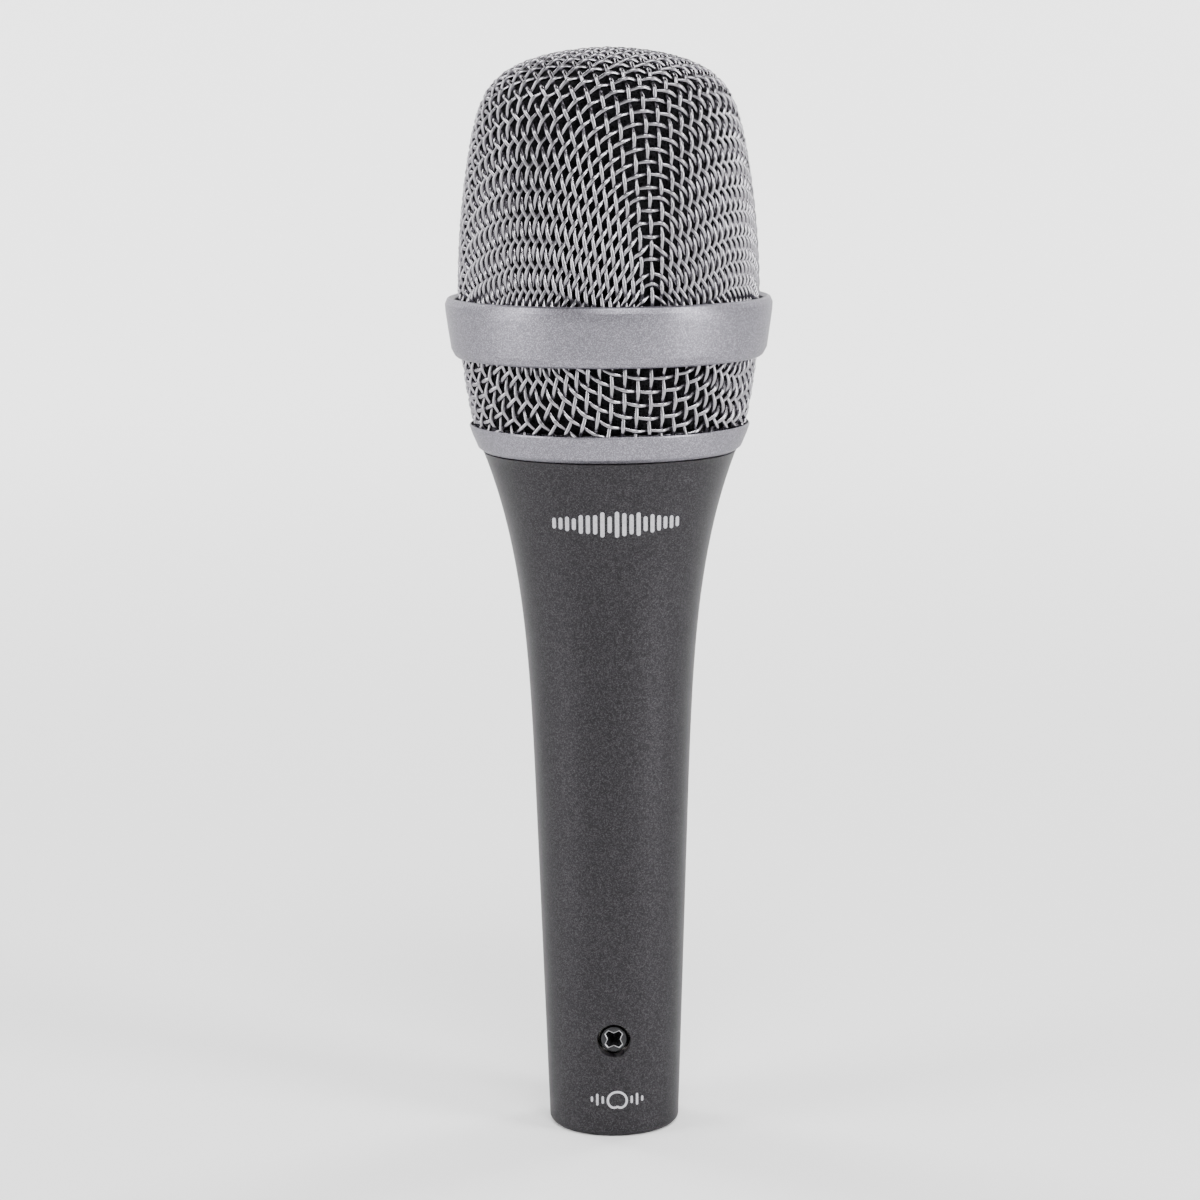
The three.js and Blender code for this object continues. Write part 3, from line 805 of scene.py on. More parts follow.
def moulded_material(name, colour, roughness, grain_scale, grain_depth, sheen=0.0, specular=0.5):
    """Moulded plastic, rubber, film or felt: an even colour with a fine surface grain."""
    material, nodes, links = blank_material(name)
    place = nodes.new("ShaderNodeTexCoord")
    place.label = "Place on the piece"
    shades = nodes.new("ShaderNodeTexNoise")
    shades.label = "Uneven pigment"
    shades.inputs["Scale"].default_value = grain_scale / 4
    shades.inputs["Detail"].default_value = 4
    tone = nodes.new("ShaderNodeValToRGB")
    tone.label = "Light and dark pigment"
    tone.color_ramp.elements[0].position = 0.3
    tone.color_ramp.elements[0].color = (*(0.8 * c for c in colour), 1)
    tone.color_ramp.elements[1].position = 0.75
    tone.color_ramp.elements[1].color = (*(min(1, 1.15 * c) for c in colour), 1)
    gloss = nodes.new("ShaderNodeMapRange")
    gloss.label = "Uneven gloss"
    gloss.inputs["To Min"].default_value = roughness - 0.05
    gloss.inputs["To Max"].default_value = min(1.0, roughness + 0.08)
    grain = nodes.new("ShaderNodeTexNoise")
    grain.label = "Mould grain"
    grain.inputs["Scale"].default_value = grain_scale
    grain.inputs["Detail"].default_value = 6
    bump = nodes.new("ShaderNodeBump")
    bump.label = "Grain relief"
    bump.inputs["Strength"].default_value = 0.5
    bump.inputs["Distance"].default_value = grain_depth
    surface = nodes.new("ShaderNodeBsdfPrincipled")
    surface.label = "Moulded surface"
    surface.inputs["Sheen Weight"].default_value = sheen
    surface.inputs["Specular IOR Level"].default_value = specular
    output = nodes.new("ShaderNodeOutputMaterial")
    output.label = "Surface"
    colouring = nodes.new("NodeFrame")
    colouring.label = "Pigment"
    relief = nodes.new("NodeFrame")
    relief.label = "Gloss and grain"
    shading = nodes.new("NodeFrame")
    shading.label = "Surface"
    set_out(
        (colouring, (place, shades, tone)),
        (relief, (gloss, grain, bump)),
        (shading, (surface, output)),
    )
    links.new(place.outputs["Object"], shades.inputs["Vector"])
    links.new(place.outputs["Object"], grain.inputs["Vector"])
    links.new(shades.outputs["Fac"], tone.inputs["Fac"])
    links.new(shades.outputs["Fac"], gloss.inputs["Value"])
    links.new(tone.outputs["Color"], surface.inputs["Base Color"])
    links.new(gloss.outputs["Result"], surface.inputs["Roughness"])
    links.new(grain.outputs["Fac"], bump.inputs["Height"])
    links.new(bump.outputs["Normal"], surface.inputs["Normal"])
    links.new(surface.outputs["BSDF"], output.inputs["Surface"])
    return material


def open_cell_foam(name, colour, cell):
    """Reticulated foam: lighter threads round its cells, with painted shade darkening the pits between them.
    """
    material, nodes, links = blank_material(name)
    place = nodes.new("ShaderNodeTexCoord")
    place.label = "Place on the piece"
    cells = nodes.new("ShaderNodeTexVoronoi")
    cells.label = "Foam cells"
    cells.feature = "DISTANCE_TO_EDGE"
    cells.inputs["Scale"].default_value = 1 / cell
    threads_and_pit_shade = nodes.new("ShaderNodeValToRGB")
    threads_and_pit_shade.label = "Threads, painted shade in pits"
    # painted shade: the cell middles, the pits, go dark as if shaded, and the threads are lighter
    threads_and_pit_shade.color_ramp.elements[0].position = 0.02
    threads_and_pit_shade.color_ramp.elements[0].color = (*(min(1, 1.5 * c) for c in colour), 1)
    threads_and_pit_shade.color_ramp.elements[1].position = 0.3
    threads_and_pit_shade.color_ramp.elements[1].color = (*(0.25 * c for c in colour), 1)
    bump = nodes.new("ShaderNodeBump")
    bump.label = "Pit relief"
    bump.invert = True
    bump.inputs["Strength"].default_value = 1.0
    bump.inputs["Distance"].default_value = cell / 3
    surface = nodes.new("ShaderNodeBsdfPrincipled")
    surface.label = "Foam"
    surface.inputs["Roughness"].default_value = 0.95
    surface.inputs["Specular IOR Level"].default_value = 0.15
    output = nodes.new("ShaderNodeOutputMaterial")
    output.label = "Surface"
    celling = nodes.new("NodeFrame")
    celling.label = "Cells"
    shading = nodes.new("NodeFrame")
    shading.label = "Surface"
    set_out((celling, (place, cells, threads_and_pit_shade, bump)), (shading, (surface, output)))
    links.new(place.outputs["Object"], cells.inputs["Vector"])
    links.new(cells.outputs["Distance"], threads_and_pit_shade.inputs["Fac"])
    links.new(cells.outputs["Distance"], bump.inputs["Height"])
    links.new(threads_and_pit_shade.outputs["Color"], surface.inputs["Base Color"])
    links.new(bump.outputs["Normal"], surface.inputs["Normal"])
    links.new(surface.outputs["BSDF"], output.inputs["Surface"])
    return material


def wound_copper(name, colour, turn_height):
    """Enamelled copper in close turns stacked along Z, with painted shade in the grooves between the turns.
    """
    material, nodes, links = blank_material(name)
    place = nodes.new("ShaderNodeTexCoord")
    place.label = "Place on the piece"
    turns = nodes.new("ShaderNodeTexWave")
    turns.label = "Turns of wire"
    turns.wave_type = "BANDS"
    turns.bands_direction = "Z"
    turns.wave_profile = "SIN"
    turns.inputs["Scale"].default_value = 0.3 / turn_height
    tone = nodes.new("ShaderNodeValToRGB")
    tone.label = "Painted shade between turns"
    # painted shade: the grooves between the turns are darkened
    tone.color_ramp.elements[0].color = (*(0.35 * c for c in colour), 1)
    tone.color_ramp.elements[1].color = (*colour, 1)
    bump = nodes.new("ShaderNodeBump")
    bump.label = "Round turns"
    bump.inputs["Distance"].default_value = turn_height / 2
    surface = nodes.new("ShaderNodeBsdfPrincipled")
    surface.label = "Copper"
    surface.inputs["Metallic"].default_value = 0.9
    surface.inputs["Roughness"].default_value = 0.35
    output = nodes.new("ShaderNodeOutputMaterial")
    output.label = "Surface"
    winding = nodes.new("NodeFrame")
    winding.label = "Winding"
    shading = nodes.new("NodeFrame")
    shading.label = "Surface"
    set_out((winding, (place, turns, tone, bump)), (shading, (surface, output)))
    links.new(place.outputs["Object"], turns.inputs["Vector"])
    links.new(turns.outputs["Fac"], tone.inputs["Fac"])
    links.new(turns.outputs["Fac"], bump.inputs["Height"])
    links.new(tone.outputs["Color"], surface.inputs["Base Color"])
    links.new(bump.outputs["Normal"], surface.inputs["Normal"])
    links.new(surface.outputs["BSDF"], output.inputs["Surface"])
    return material


def paper_white(name, brightness):
    """The plain pale floor and backdrop."""
    material, nodes, links = blank_material(name)
    surface = nodes.new("ShaderNodeBsdfPrincipled")
    surface.label = "Matt paper"
    surface.inputs["Base Color"].default_value = (brightness, brightness, brightness, 1)
    surface.inputs["Roughness"].default_value = 0.9
    surface.inputs["Specular IOR Level"].default_value = 0.1
    output = nodes.new("ShaderNodeOutputMaterial")
    output.label = "Surface"
    shading = nodes.new("NodeFrame")
    shading.label = "Surface"
    set_out((shading, (surface, output)))
    links.new(surface.outputs["BSDF"], output.inputs["Surface"])
    return material


FINISHES = {
    "handle_paint": (metallic_paint, dict(
        flake_colour=(0.058, 0.0556, 0.0605), metallic=0.8, roughness=0.42,
        edge=0.7, flake_scale=6000, flake_share=0.6,
    )),
    "silver_paint": (metallic_paint, dict(
        flake_colour=(0.39, 0.376, 0.42), metallic=0.9, roughness=0.38,
        edge=0.6, flake_scale=7000, flake_share=0.55,
    )),
    "silver_print": (metallic_paint, dict(
        flake_colour=(0.52, 0.51, 0.54), metallic=0.1, roughness=0.5,
        edge=1.0, flake_scale=4500, flake_share=0.35,
    )),
    "wire_mesh": (plated_metal, dict(
        roughness=0.22, mottle=900, scratch_scale=5000, edge=0.4,
    )),
    "black_foam": (open_cell_foam, dict(colour=(0.008, 0.008, 0.0095), cell=0.55 * MM)),
    "soft_rubber": (moulded_material, dict(
        colour=(0.012, 0.012, 0.012), roughness=0.7, grain_scale=3000, grain_depth=0.02 * MM,
    )),
    "nickel": (plated_metal, dict(
        colour=(0.66, 0.64, 0.6), roughness=0.22, mottle=500, scratch_scale=4000,
    )),
    "moulded_black": (moulded_material, dict(
        colour=(0.018, 0.018, 0.02), roughness=0.45, grain_scale=4000, grain_depth=0.015 * MM,
    )),
    "black_steel": (plated_metal, dict(
        colour=(0.021, 0.021, 0.023), roughness=0.22, mottle=800, scratch_scale=5000, metallic=0.6,
    )),
    "plated_steel": (plated_metal, dict(
        colour=(0.45, 0.45, 0.46), roughness=0.32, mottle=600, scratch_scale=3000,
    )),
    "magnet_plate": (plated_metal, dict(
        colour=(0.62, 0.63, 0.65), roughness=0.2, mottle=400, scratch_scale=3500,
    )),
    "grey_felt": (moulded_material, dict(
        colour=(0.09, 0.09, 0.1), roughness=0.92, grain_scale=2500, grain_depth=0.12 * MM, sheen=0.4,
    )),
    "copper_wire": (wound_copper, dict(colour=(0.72, 0.28, 0.12), turn_height=0.12 * MM)),
    "clear_film": (moulded_material, dict(
        colour=(0.55, 0.58, 0.62), roughness=0.15, grain_scale=1200, grain_depth=0.005 * MM,
    )),
    "circuit_board": (moulded_material, dict(
        colour=(0.02, 0.09, 0.035), roughness=0.4, grain_scale=2500, grain_depth=0.01 * MM,
    )),
    "gold_plate": (plated_metal, dict(
        colour=(0.78, 0.55, 0.2), roughness=0.25, mottle=500, scratch_scale=4000,
    )),
    "yellow_insulation": (moulded_material, dict(
        colour=(0.62, 0.4, 0.03), roughness=0.4, grain_scale=2000, grain_depth=0.01 * MM,
    )),
    "blue_insulation": (moulded_material, dict(
        colour=(0.025, 0.08, 0.33), roughness=0.4, grain_scale=2000, grain_depth=0.01 * MM,
    )),
}


def finish(slot):
    """The slot's material, made the first time it is asked for."""
    name = f"{slot}_finish"
    if name not in bpy.data.materials:
        make, values = FINISHES[slot]
        colours = bpy.context.scene.microphone_colours
        if slot in colours.bl_rna.properties:
            values = {**values, "colour": tuple(getattr(colours, slot))}
        make(name, **values)
    return bpy.data.materials[name]


# ---------------------------------------------------------------- handle and connector


def arc_rows(radius, height, round_, start, end, steps):
    """Rows along a round centred at (radius, height), between two angles in degrees."""
    angles = np.radians(np.linspace(start, end, steps))
    return [(radius + round_ * math.cos(a), height + round_ * math.sin(a)) for a in angles]


def handle_profile():
    """The handle's section: up its outside, over the neck, and down the bore to the connector's seat."""
    rim, shoulder, wall = 1.1 * MM, 0.25 * MM, 2.4 * MM
    rows = arc_rows(handle_radius(rim) - rim, rim, rim, -90, 0, 9)
    rows += [(handle_radius(z), z) for z in np.linspace(rim, HANDLE_TOP - shoulder, 80)[1:]]
    rows += arc_rows(handle_radius(HANDLE_TOP) - shoulder, HANDLE_TOP - shoulder, shoulder, 0, 90, 6)[1:]
    rows += rounded(
        [
            (18.0, 122.2, 0.15),
            (18.0, 123.0, 0.1),
            (18.35, 123.3, 0.1),
            (18.35, 127.1, 0.2),
            (17.9, 127.6, 0.2),
            (16.2, 127.6, 0.3),
            (16.2, 119.6, 0.3),
        ],
    )
    rows += [(handle_radius(z) - wall, z) for z in np.linspace(117, 27, 40) * MM]
    rows += rounded(
        [(8.9, 25.2, 0.3), (8.9, 23.2, 0.2), (9.75, 23.2, 0.1), (9.75, 0.35, 0.1), (10.05, 0.0, 0.1)],
    )
    return rows


def bore_cutter(radius, front, back):
    """A cutter along Y at the height of the connector screw."""
    points, faces = cylinder_parts(radius, front, back, 64, axis="Y", place=(0, 0, SCREW_HEIGHT))
    return mesh_object("Bore", points, faces, finish("moulded_black"))


def box_parts(low, high, turn=0.0):
    """A box between two corners in millimetres, turned about Z."""
    spin = Matrix.Rotation(turn, 3, "Z")
    points = []
    for x in (low[0], high[0]):
        for y in (low[1], high[1]):
            for z in (low[2], high[2]):
                points.append(tuple(spin @ Vector((x, y, z)) * MM))
    faces = [[0, 1, 3, 2], [4, 6, 7, 5], [0, 4, 5, 1], [2, 3, 7, 6], [0, 2, 6, 4], [1, 5, 7, 3]]
    return points, faces


def build_handle():
    """The painted tube with the screw's hole, and the thread on its neck."""
    shell = turned("handle_shell", handle_profile(), 192, finish("handle_paint"))
    carve(shell, bore_cutter(SCREW_HOLE, -14 * MM, -9 * MM))

    def at_hole(middle):
        reach = math.hypot(middle.x, middle.z - SCREW_HEIGHT)
        return middle.y < -9 * MM and abs(reach - SCREW_HOLE) < 0.2 * MM

    soften_edges(shell, 0.22 * MM, segments=3, chosen=at_hole)
    place_creased(shell, "handle", "handle_paint", "handle_body")
    ridge = mesh_object("neck_thread", *helix_parts(*NECK_THREAD), finish("handle_paint"))
    place_creased(ridge, "handle", "handle_paint", "handle_body")


def build_connector():
    """The connector insert: shell with keyway, insulator and three pins."""
    inner, outer = 8.2, 9.45
    low, high = SHELL_FOOT / MM, SHELL_HEAD / MM
    shell = turned(
        "connector_shell",
        rounded([(inner, low, 0.25), (outer, low, 0.3), (outer, high, 0.2), (inner, high, 0.2)]),
        128, finish("nickel"),
    )
    keyway, flat = box_parts((-1.5, 7, -1), (1.5, 10.5, 6)), box_parts((-4, -10, 14), (4, -9.2, 22))
    carve(shell, joined("Keyway and flat", [keyway, flat], finish("nickel")))
    carve(shell, bore_cutter(TAPPED_HOLE, -10 * MM, -7 * MM))
    soften_edges(shell, 0.1 * MM)
    place_creased(shell, "handle", "nickel", "xlr_shell")

    pins = [[centre_of(f"contact_pin_{n}").x, centre_of(f"contact_pin_{n}").y] for n in (1, 2, 3)]
    low, high = INSULATOR_FOOT / MM, INSULATOR_HEAD / MM
    outline = [(0, low), (6.9, low), (7.1, low + 0.35, 0.1), (7.5, low + 0.35, 0.1), (7.6, low, 0.1)]
    outline += [(7.9, low, 0.2), (7.9, high, 0.3), (0, high)]
    insulator = turned("connector_insulator", rounded(outline, closed=False), 96, finish("moulded_black"))
    for x, y in pins:
        hole = cylinder_parts(1.32 * MM, low * MM - MM, high * MM + MM, 32, place=(x, y, 0))
        carve(insulator, mesh_object("Pin hole", *hole, finish("moulded_black")))
    carve(insulator, bore_cutter(TAPPED_HOLE, -9 * MM, -6.6 * MM))
    soften_edges(insulator, 0.12 * MM)
    place_creased(insulator, "handle", "moulded_black", "xlr_insulator")

    tip, end, radius = PIN_FOOT / MM, PIN_HEAD / MM, 1.2
    outline = [(0, tip), (0.75, tip, 0.3), (radius, tip + 0.8, 0.5), (radius, 13.6), (radius, end, 0.1)]
    outline += [(0.85, end, 0.1), (0.85, end - 2.8, 0.2), (0, end - 3.2)]
    for number, place in enumerate(pins, 1):
        profile = rounded(outline, closed=False)
        pin = turned(f"contact_pin_{number}_turned", profile, 48, finish("nickel"), place)
        place_creased(pin, "handle", "nickel", f"contact_pin_{number}")


def recess_parts(face, depth):
    """A cross at 45 degrees, widest in the middle, that narrows to a point inwards from the screw's face."""
    # distance in from the face, reach of an arm, half its width, and reach of the notch between two arms
    mouth, narrowing = (-0.3, 1.98, 0.42, 1.2), (0.5 * depth, 1.15, 0.32, 0.75)
    points = []
    for below, reach, half, notch in (mouth, narrowing):
        for quarter in range(4):
            turn = Matrix.Rotation((quarter + 0.5) * math.pi / 2, 2)
            for corner in ((reach, -half), (reach, half), (notch * math.sqrt(0.5), notch * math.sqrt(0.5))):
                x, z = turn @ Vector(corner)
                points.append((x * MM, (face + below) * MM, z * MM + SCREW_HEIGHT))
    points.append((0, (face + depth) * MM, SCREW_HEIGHT))
    faces = [list(range(12))]
    for k in range(12):
        after = (k + 1) % 12
        faces += [[k, after, after + 12], [k, after + 12, k + 12], [k + 12, after + 12, 24]]
    return points, faces


def build_screw():
    """Pan-head screw that lies along -Y, face outwards."""
    face, seat = 11.3, 9.5
    outline = [(0, 6.9), (1.0, 6.9), (1.25, 7.3), (1.25, seat), (2.5, seat, 0.15), (2.5, 10.65, 0.4)]
    outline += [(2.32, face - 0.15, 0.25), (0, face)]
    points, faces = turned_parts(rounded(outline, closed=False), 96)
    points = [(x, -z, y + SCREW_HEIGHT) for x, y, z in points]
    screw = mesh_object("grip_screw", points, faces, finish("black_steel"))
    carve(screw, mesh_object("Recess", *recess_parts(-face, 2.4), finish("black_steel")))

    def at_recess(middle):
        reach = math.hypot(middle.x, middle.z - SCREW_HEIGHT)
        return middle.y < (0.4 - face) * MM and reach < 2.05 * MM

    # lighter plated steel on the recess bevels: partly screwdriver wear, partly a painted highlight
    soften_edges(screw, 0.1 * MM, chosen=at_recess, wear_and_highlight=finish("plated_steel"))
    place_creased(screw, "handle", "black_steel", "insert_screw")


# ---------------------------------------------------------------- printed marks


def stroke_parts(path, widths):
    """A printed stroke on the handle, as a thin closed ribbon that follows its curve.

    The path's rows are (millimetres round the handle from the front, millimetres up).
    """
    lift, sink = 0.02, 0.05
    path = np.array(path, float)
    widths = np.broadcast_to(widths, len(path))
    along = np.gradient(path, axis=0)
    along /= np.linalg.norm(along, axis=1)[:, None]
    across = np.column_stack([-along[:, 1], along[:, 0]])
    points = []
    for place, side, width in zip(path, across, widths):
        for share, depth in ((-0.5, lift), (0.5, lift), (0.5, -sink), (-0.5, -sink)):
            round_, up = place + side * share * width
            radius = handle_radius(up * MM)
            angle = -math.pi / 2 + round_ * MM / radius
            reach = radius + depth * MM
            points.append((reach * math.cos(angle), reach * math.sin(angle), up * MM))
    return points, ribbon_faces(len(path))


def round_ended(start, end, width, count=12):
    """A straight stroke with rounded ends."""
    start, end = np.array(start, float), np.array(end, float)
    length = np.linalg.norm(end - start)
    turn = np.linspace(0, math.pi / 2, count)
    rows = np.concatenate([width / 2 * (1 - np.cos(turn)), (length - width / 2 * (1 - np.cos(turn)))[::-1]])
    widths = np.concatenate([width * np.sin(turn), width * np.sin(turn)[::-1]])
    path = start + rows[:, None] * (end - start) / length
    return stroke_parts(path, np.maximum(widths, 0.02))


def build_prints():
    """Generic marks: a level-bar pattern under the head and a pickup-pattern sign near the connector."""
    middle, left, right, pitch = 111.4, -10.1, 12.4, 1.25
    bars = []
    for k, place in enumerate(np.arange(left, right + 0.01, pitch)):
        swell = math.exp(-(((place - (left + right) / 2) / 8.5) ** 2))
        height = 1.5 + 3.3 * swell * (0.4 + 0.6 * abs(math.sin(1.9 * k + 0.6)))
        bars.append(round_ended((place, middle - height / 2), (place, middle + height / 2), 0.72))
    upper = joined("upper_print", bars, finish("silver_print"))
    place_creased(upper, "handle", "silver_paint")

    middle, centre = 6.95, 0.55
    turn = np.linspace(-math.pi, math.pi, 73)[2:-2]
    reach = 1.3 * (1 + np.cos(turn))
    heart = np.column_stack([centre + reach * np.sin(turn), middle - 1.1 + reach * np.cos(turn)])
    marks = [stroke_parts(heart, 0.4)]
    for side in (-1, 1):
        for first, height in ((2.6, 1.4), (3.6, 2.2), (4.6, 1.0)):
            place = centre + side * first
            marks.append(round_ended((place, middle - height / 2), (place, middle + height / 2), 0.42, 6))
    lower = joined("lower_print", marks, finish("silver_print"))
    place_creased(lower, "handle", "silver_paint")


# ---------------------------------------------------------------- head


def build_head_rings():
    """The collar with its inside thread, and the band between the two meshes."""
    collar = turned(
        "head_collar",
        rounded([
            (19.3, 122.3, 0.2),
            (22.2, 122.3, 0.12),
            (23.1, 122.95, 0.4),
            (24.1, 125.3, 1.5),
            (24.58, 126.7, 0.2),
            (24.48, 127.0, 0.12),
            (24.3, 127.0),
            (24.3, 126.3),
            (22.1, 126.3),
            (22.1, 127.0, 0.1),
            (19.3, 127.0, 0.3),
        ]),
        192, finish("silver_paint"),
    )
    place_creased(collar, "head", "silver_paint", "collar_ring", angle=30)
    ridge = mesh_object("collar_thread", *helix_parts(*COLLAR_THREAD, inside=True), finish("silver_paint"))
    place_creased(ridge, "head", "silver_paint", "collar_ring")
    band = turned(
        "middle_band",
        rounded([
            (26.45, 138.7, 0.05),
            (26.95, 139.05, 0.4),
            (27.6, 140.3, 0.4),
            (28.1, 143.7, 4.0),
            (28.5, 146.6, 2.0),
            (28.6, 148.0, 0.1),
            (28.2, 148.95, 0.25),
            (27.7, 149.2, 0.25),
            (26.95, 148.7, 0.2),
            (26.8, 145.2),
            (25.0, 145.2, 0.2),
            (25.0, 140.8, 0.2),
            (26.45, 140.8),
        ]),
        256, finish("silver_paint"),
    )
    place_creased(band, "head", "silver_paint", "centre_band", angle=30)


def lower_cup_outline(depth):
    """The blank cup that the lower mesh is cut from, from the middle of its closed end outwards."""
    heights = np.linspace(LOWER_FOOT - 0.2 * MM, LOWER_HEAD + SPARE_MESH, 80)
    wall = np.array([[lower_mesh_radius(z) - depth, z] for z in heights])
    corner, base = 1.5 * MM, wall[0]
    turn = np.radians(np.linspace(-90, -4, 40))
    round_ = np.column_stack([
        base[0] - corner + corner * np.cos(turn), base[1] + corner * np.sin(turn),
    ])
    flat = np.column_stack([np.linspace(0, round_[0, 0], 100, endpoint=False), np.full(100, round_[0, 1])])
    return np.vstack([flat, round_, wall])


def crushed_crossings():
    """Where the front of the mesh was pushed up as it was pressed into the band, by row and column."""
    first_row = 19
    lifts = (
        (0.3, 0.6, 0.4, 0.2),
        (0.4, 0.7, 0.5, 0.2),
        (0.4, 0.8, 0.5, 0.3),
        (0.5, 0.9, 0.6, 0.3),
        (1.4, 0.6, 0.6, 0.3),
        (1.3, 1.4, 0.7, 0.4),
        (1.2, 1.1, 0.8, 0.4),
        (2.0, 1.5, 1.0, 0.5),
        (2.3, 1.7, 1.2, 0.6),
    )
    crush = {}
    for row, line in enumerate(lifts, first_row):
        for column, lift in enumerate(line):
            crush[row, column] = lift * MM
    return crush


def build_head_mesh(sizes):
    """Warp and weft of the domed mesh and of the lower mesh."""
    rounds = 3000
    upper_outline = inset(dome_outline(), MESH_DEPTH)[::-1]
    lower_outline = lower_cup_outline(MESH_DEPTH)
    in_band, trim = 3.2 * MM, 0.2 * MM
    nets = (
        ("upper_mesh", "upper_grille", upper_outline, BAND_HEAD - in_band, CROWN + MM, crushed_crossings()),
        ("lower_mesh", "lower_grille", lower_outline, LOWER_FOOT + trim, LOWER_HEAD - trim, {}),
    )
    for name, node, outline, low, high, crush in nets:
        net = DrawnNet(
            spaced(outline, 3000), sizes.mesh_pitch, sizes.lock_angle, sizes.wire_stiffness,
            rounds, seed=7, crush=crush,
        )
        for family, direction in enumerate(("warp", "weft")):
            points, edges, away, sides = net.wires(family, low, high, sizes.net_turn)
            piece = wire_piece(
                f"{name}_{direction}", points, edges, away, sides, finish("wire_mesh"),
                wire_radius=sizes.wire_radius, crimp_height=0.96 * sizes.wire_radius,
                steps_per_cell=5, sides=8,
            )
            place_piece(piece, "head", "wire_mesh", node)


def roughened(rows, sides, amount, cell, seed):
    """A turned foam wall with an uneven surface, as (points, faces)."""
    noise.seed_set(seed)
    points, faces = turned_parts(rows, sides)
    shifted = []
    for point in points:
        place = Vector(point)
        step = noise.noise_vector(place / cell) * amount
        shifted.append(tuple(place + step))
    return shifted, faces


def build_foam():
    """The foam shells behind the domed mesh and the lower mesh."""
    liner_depth, thickness = 2.2 * MM, 3.0 * MM
    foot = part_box("foam_liner")[0].z
    wall = spaced(inset(dome_outline(), liner_depth), 90)
    inner = spaced(inset(dome_outline(), liner_depth + thickness), 70)
    outer_rows = [(r, z) for r, z in wall if z > foot]
    inner_rows = [(r, z) for r, z in inner if z > foot]
    rows = inner_rows[::-1] + [(inner_rows[0][0], foot), (outer_rows[0][0], foot)] + outer_rows
    shape = roughened(rows, 200, amount=0.12 * MM, cell=0.9 * MM, seed=3)
    liner = mesh_object("foam_windscreen", *shape, finish("black_foam"))
    place_piece(liner, "windscreen", "black_foam", "foam_liner")

    low, high = node_span("vent_foam")
    depth, thickness = 1.9 * MM, 2.0 * MM
    heights = np.linspace(low, high, 28)
    outside = [(lower_mesh_radius(z) - depth, z) for z in heights]
    inside = [(lower_mesh_radius(z) - depth - thickness, z) for z in heights[::-1]]
    shape = roughened(outside + inside, 220, amount=0.1 * MM, cell=0.9 * MM, seed=5)
    vent = mesh_object("vent_foam_band", *shape, finish("black_foam"))
    place_piece(vent, "vent_liner", "black_foam", "vent_foam")


# ---------------------------------------------------------------- capsule


def build_mount():
    """Ribbed rubber sleeve in the neck, with a flange and a lip that grips the rear chamber."""
    outline = [(14.3, 119.9, 0.2), (15.9, 119.9, 0.2)]
    for height in (121.4, 123.2, 125.0):
        outline += [(15.9, height, 0.15), (15.5, height + 0.3, 0.1), (15.5, height + 0.9, 0.1)]
        outline += [(15.9, height + 1.2, 0.15)]
    outline += [(15.9, 127.9), (18.0, 127.9, 0.3), (18.0, 129.7, 0.5), (14.7, 130.5, 0.5)]
    outline += [(14.5, 133.5, 0.4), (13.3, 133.5, 0.2), (13.3, 128.5, 0.2), (14.3, 126.9, 0.2)]
    mount = turned("rubber_mount", rounded(outline), 128, finish("soft_rubber"))
    mark_creases(mount, 38)
    stretch_piece(mount, "soft_rubber", "shock_mount", MOUNT_FOOT, MOUNT_HEAD)


def lead_route(side, pin):
    """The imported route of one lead, in millimetres: from its lug, down the twisted pair, to its pin."""
    pin_x, pin_y = pin
    steps, twists, twist_radius, twist_top, twist_length = 16, 2.5, 0.85, 90, 54
    route = [(side * 6.5, 0, 99.6), (side * 6.5, 0, 97), (side * 4.2, 0, 93.2)]
    for step in range(steps):
        share = step / (steps - 1)
        angle = share * twists * 2 * math.pi + (0 if side > 0 else math.pi)
        height = twist_top - twist_length * share
        route.append((twist_radius * math.cos(angle), twist_radius * math.sin(angle), height))
    route += [(0.7 * pin_x, 0.7 * pin_y, 31.5), (pin_x, pin_y, 28), (pin_x, pin_y, 24.3)]
    return np.array(route)


def wire_along(name, route, radius, material, steps):
    """A round wire along one smooth route given in millimetres."""
    edges = [(i, i + 1) for i in range(len(route) - 1)]
    flat = np.zeros((len(route), 3))
    return wire_piece(
        name, route * MM, edges, flat, flat[:, 0], material,
        wire_radius=radius, crimp_height=0.0, steps_per_cell=steps, sides=16,
    )


def build_leads():
    """The two insulated leads from the solder lugs to their pins, with bare copper ends."""
    leads = (
        ("hot", 1, "contact_pin_2", "yellow_insulation"),
        ("cold", -1, "contact_pin_3", "blue_insulation"),
    )
    slack = (40 * MM, 96 * MM)
    for name, side, pin, insulation in leads:
        middle = centre_of(pin) / MM
        route = lead_route(side, (middle.x, middle.y))
        sleeve_route = route[1:-1].copy()
        sleeve_route[0, 2] += 1.2
        for part, path, radius, slot in (
            ("sleeve", sleeve_route, 0.55 * MM, insulation),
            ("core", route, 0.3 * MM, "copper_wire"),
        ):
            lead = wire_along(f"lead_{name}_{part}", path, radius, finish(slot), 10)
            stretch_piece(lead, slot, f"lead_wire_{name}", *slack)


def turned_piece(name, outline, sides, body, slot, *nodes, closed=True):
    """A turned piece of the capsule from its rounded outline, in millimetres."""
    piece = turned(name, rounded(outline, closed=closed), sides, finish(slot))
    place_creased(piece, body, slot, *nodes)
    return piece


def drill(piece, radius, low, high, places, sides=32):
    """Drills upright holes at places given in millimetres."""
    parts = []
    for x, y in places:
        parts.append(cylinder_parts(radius * MM, low * MM, high * MM, sides, place=(x * MM, y * MM, 0)))
    carve(piece, joined("Drill", parts, finish("moulded_black")))


def circle_places(count, radius):
    """Equally spaced places on a circle."""
    angles = np.linspace(0, 2 * math.pi, count, endpoint=False)
    return [(radius * math.cos(a), radius * math.sin(a)) for a in angles]


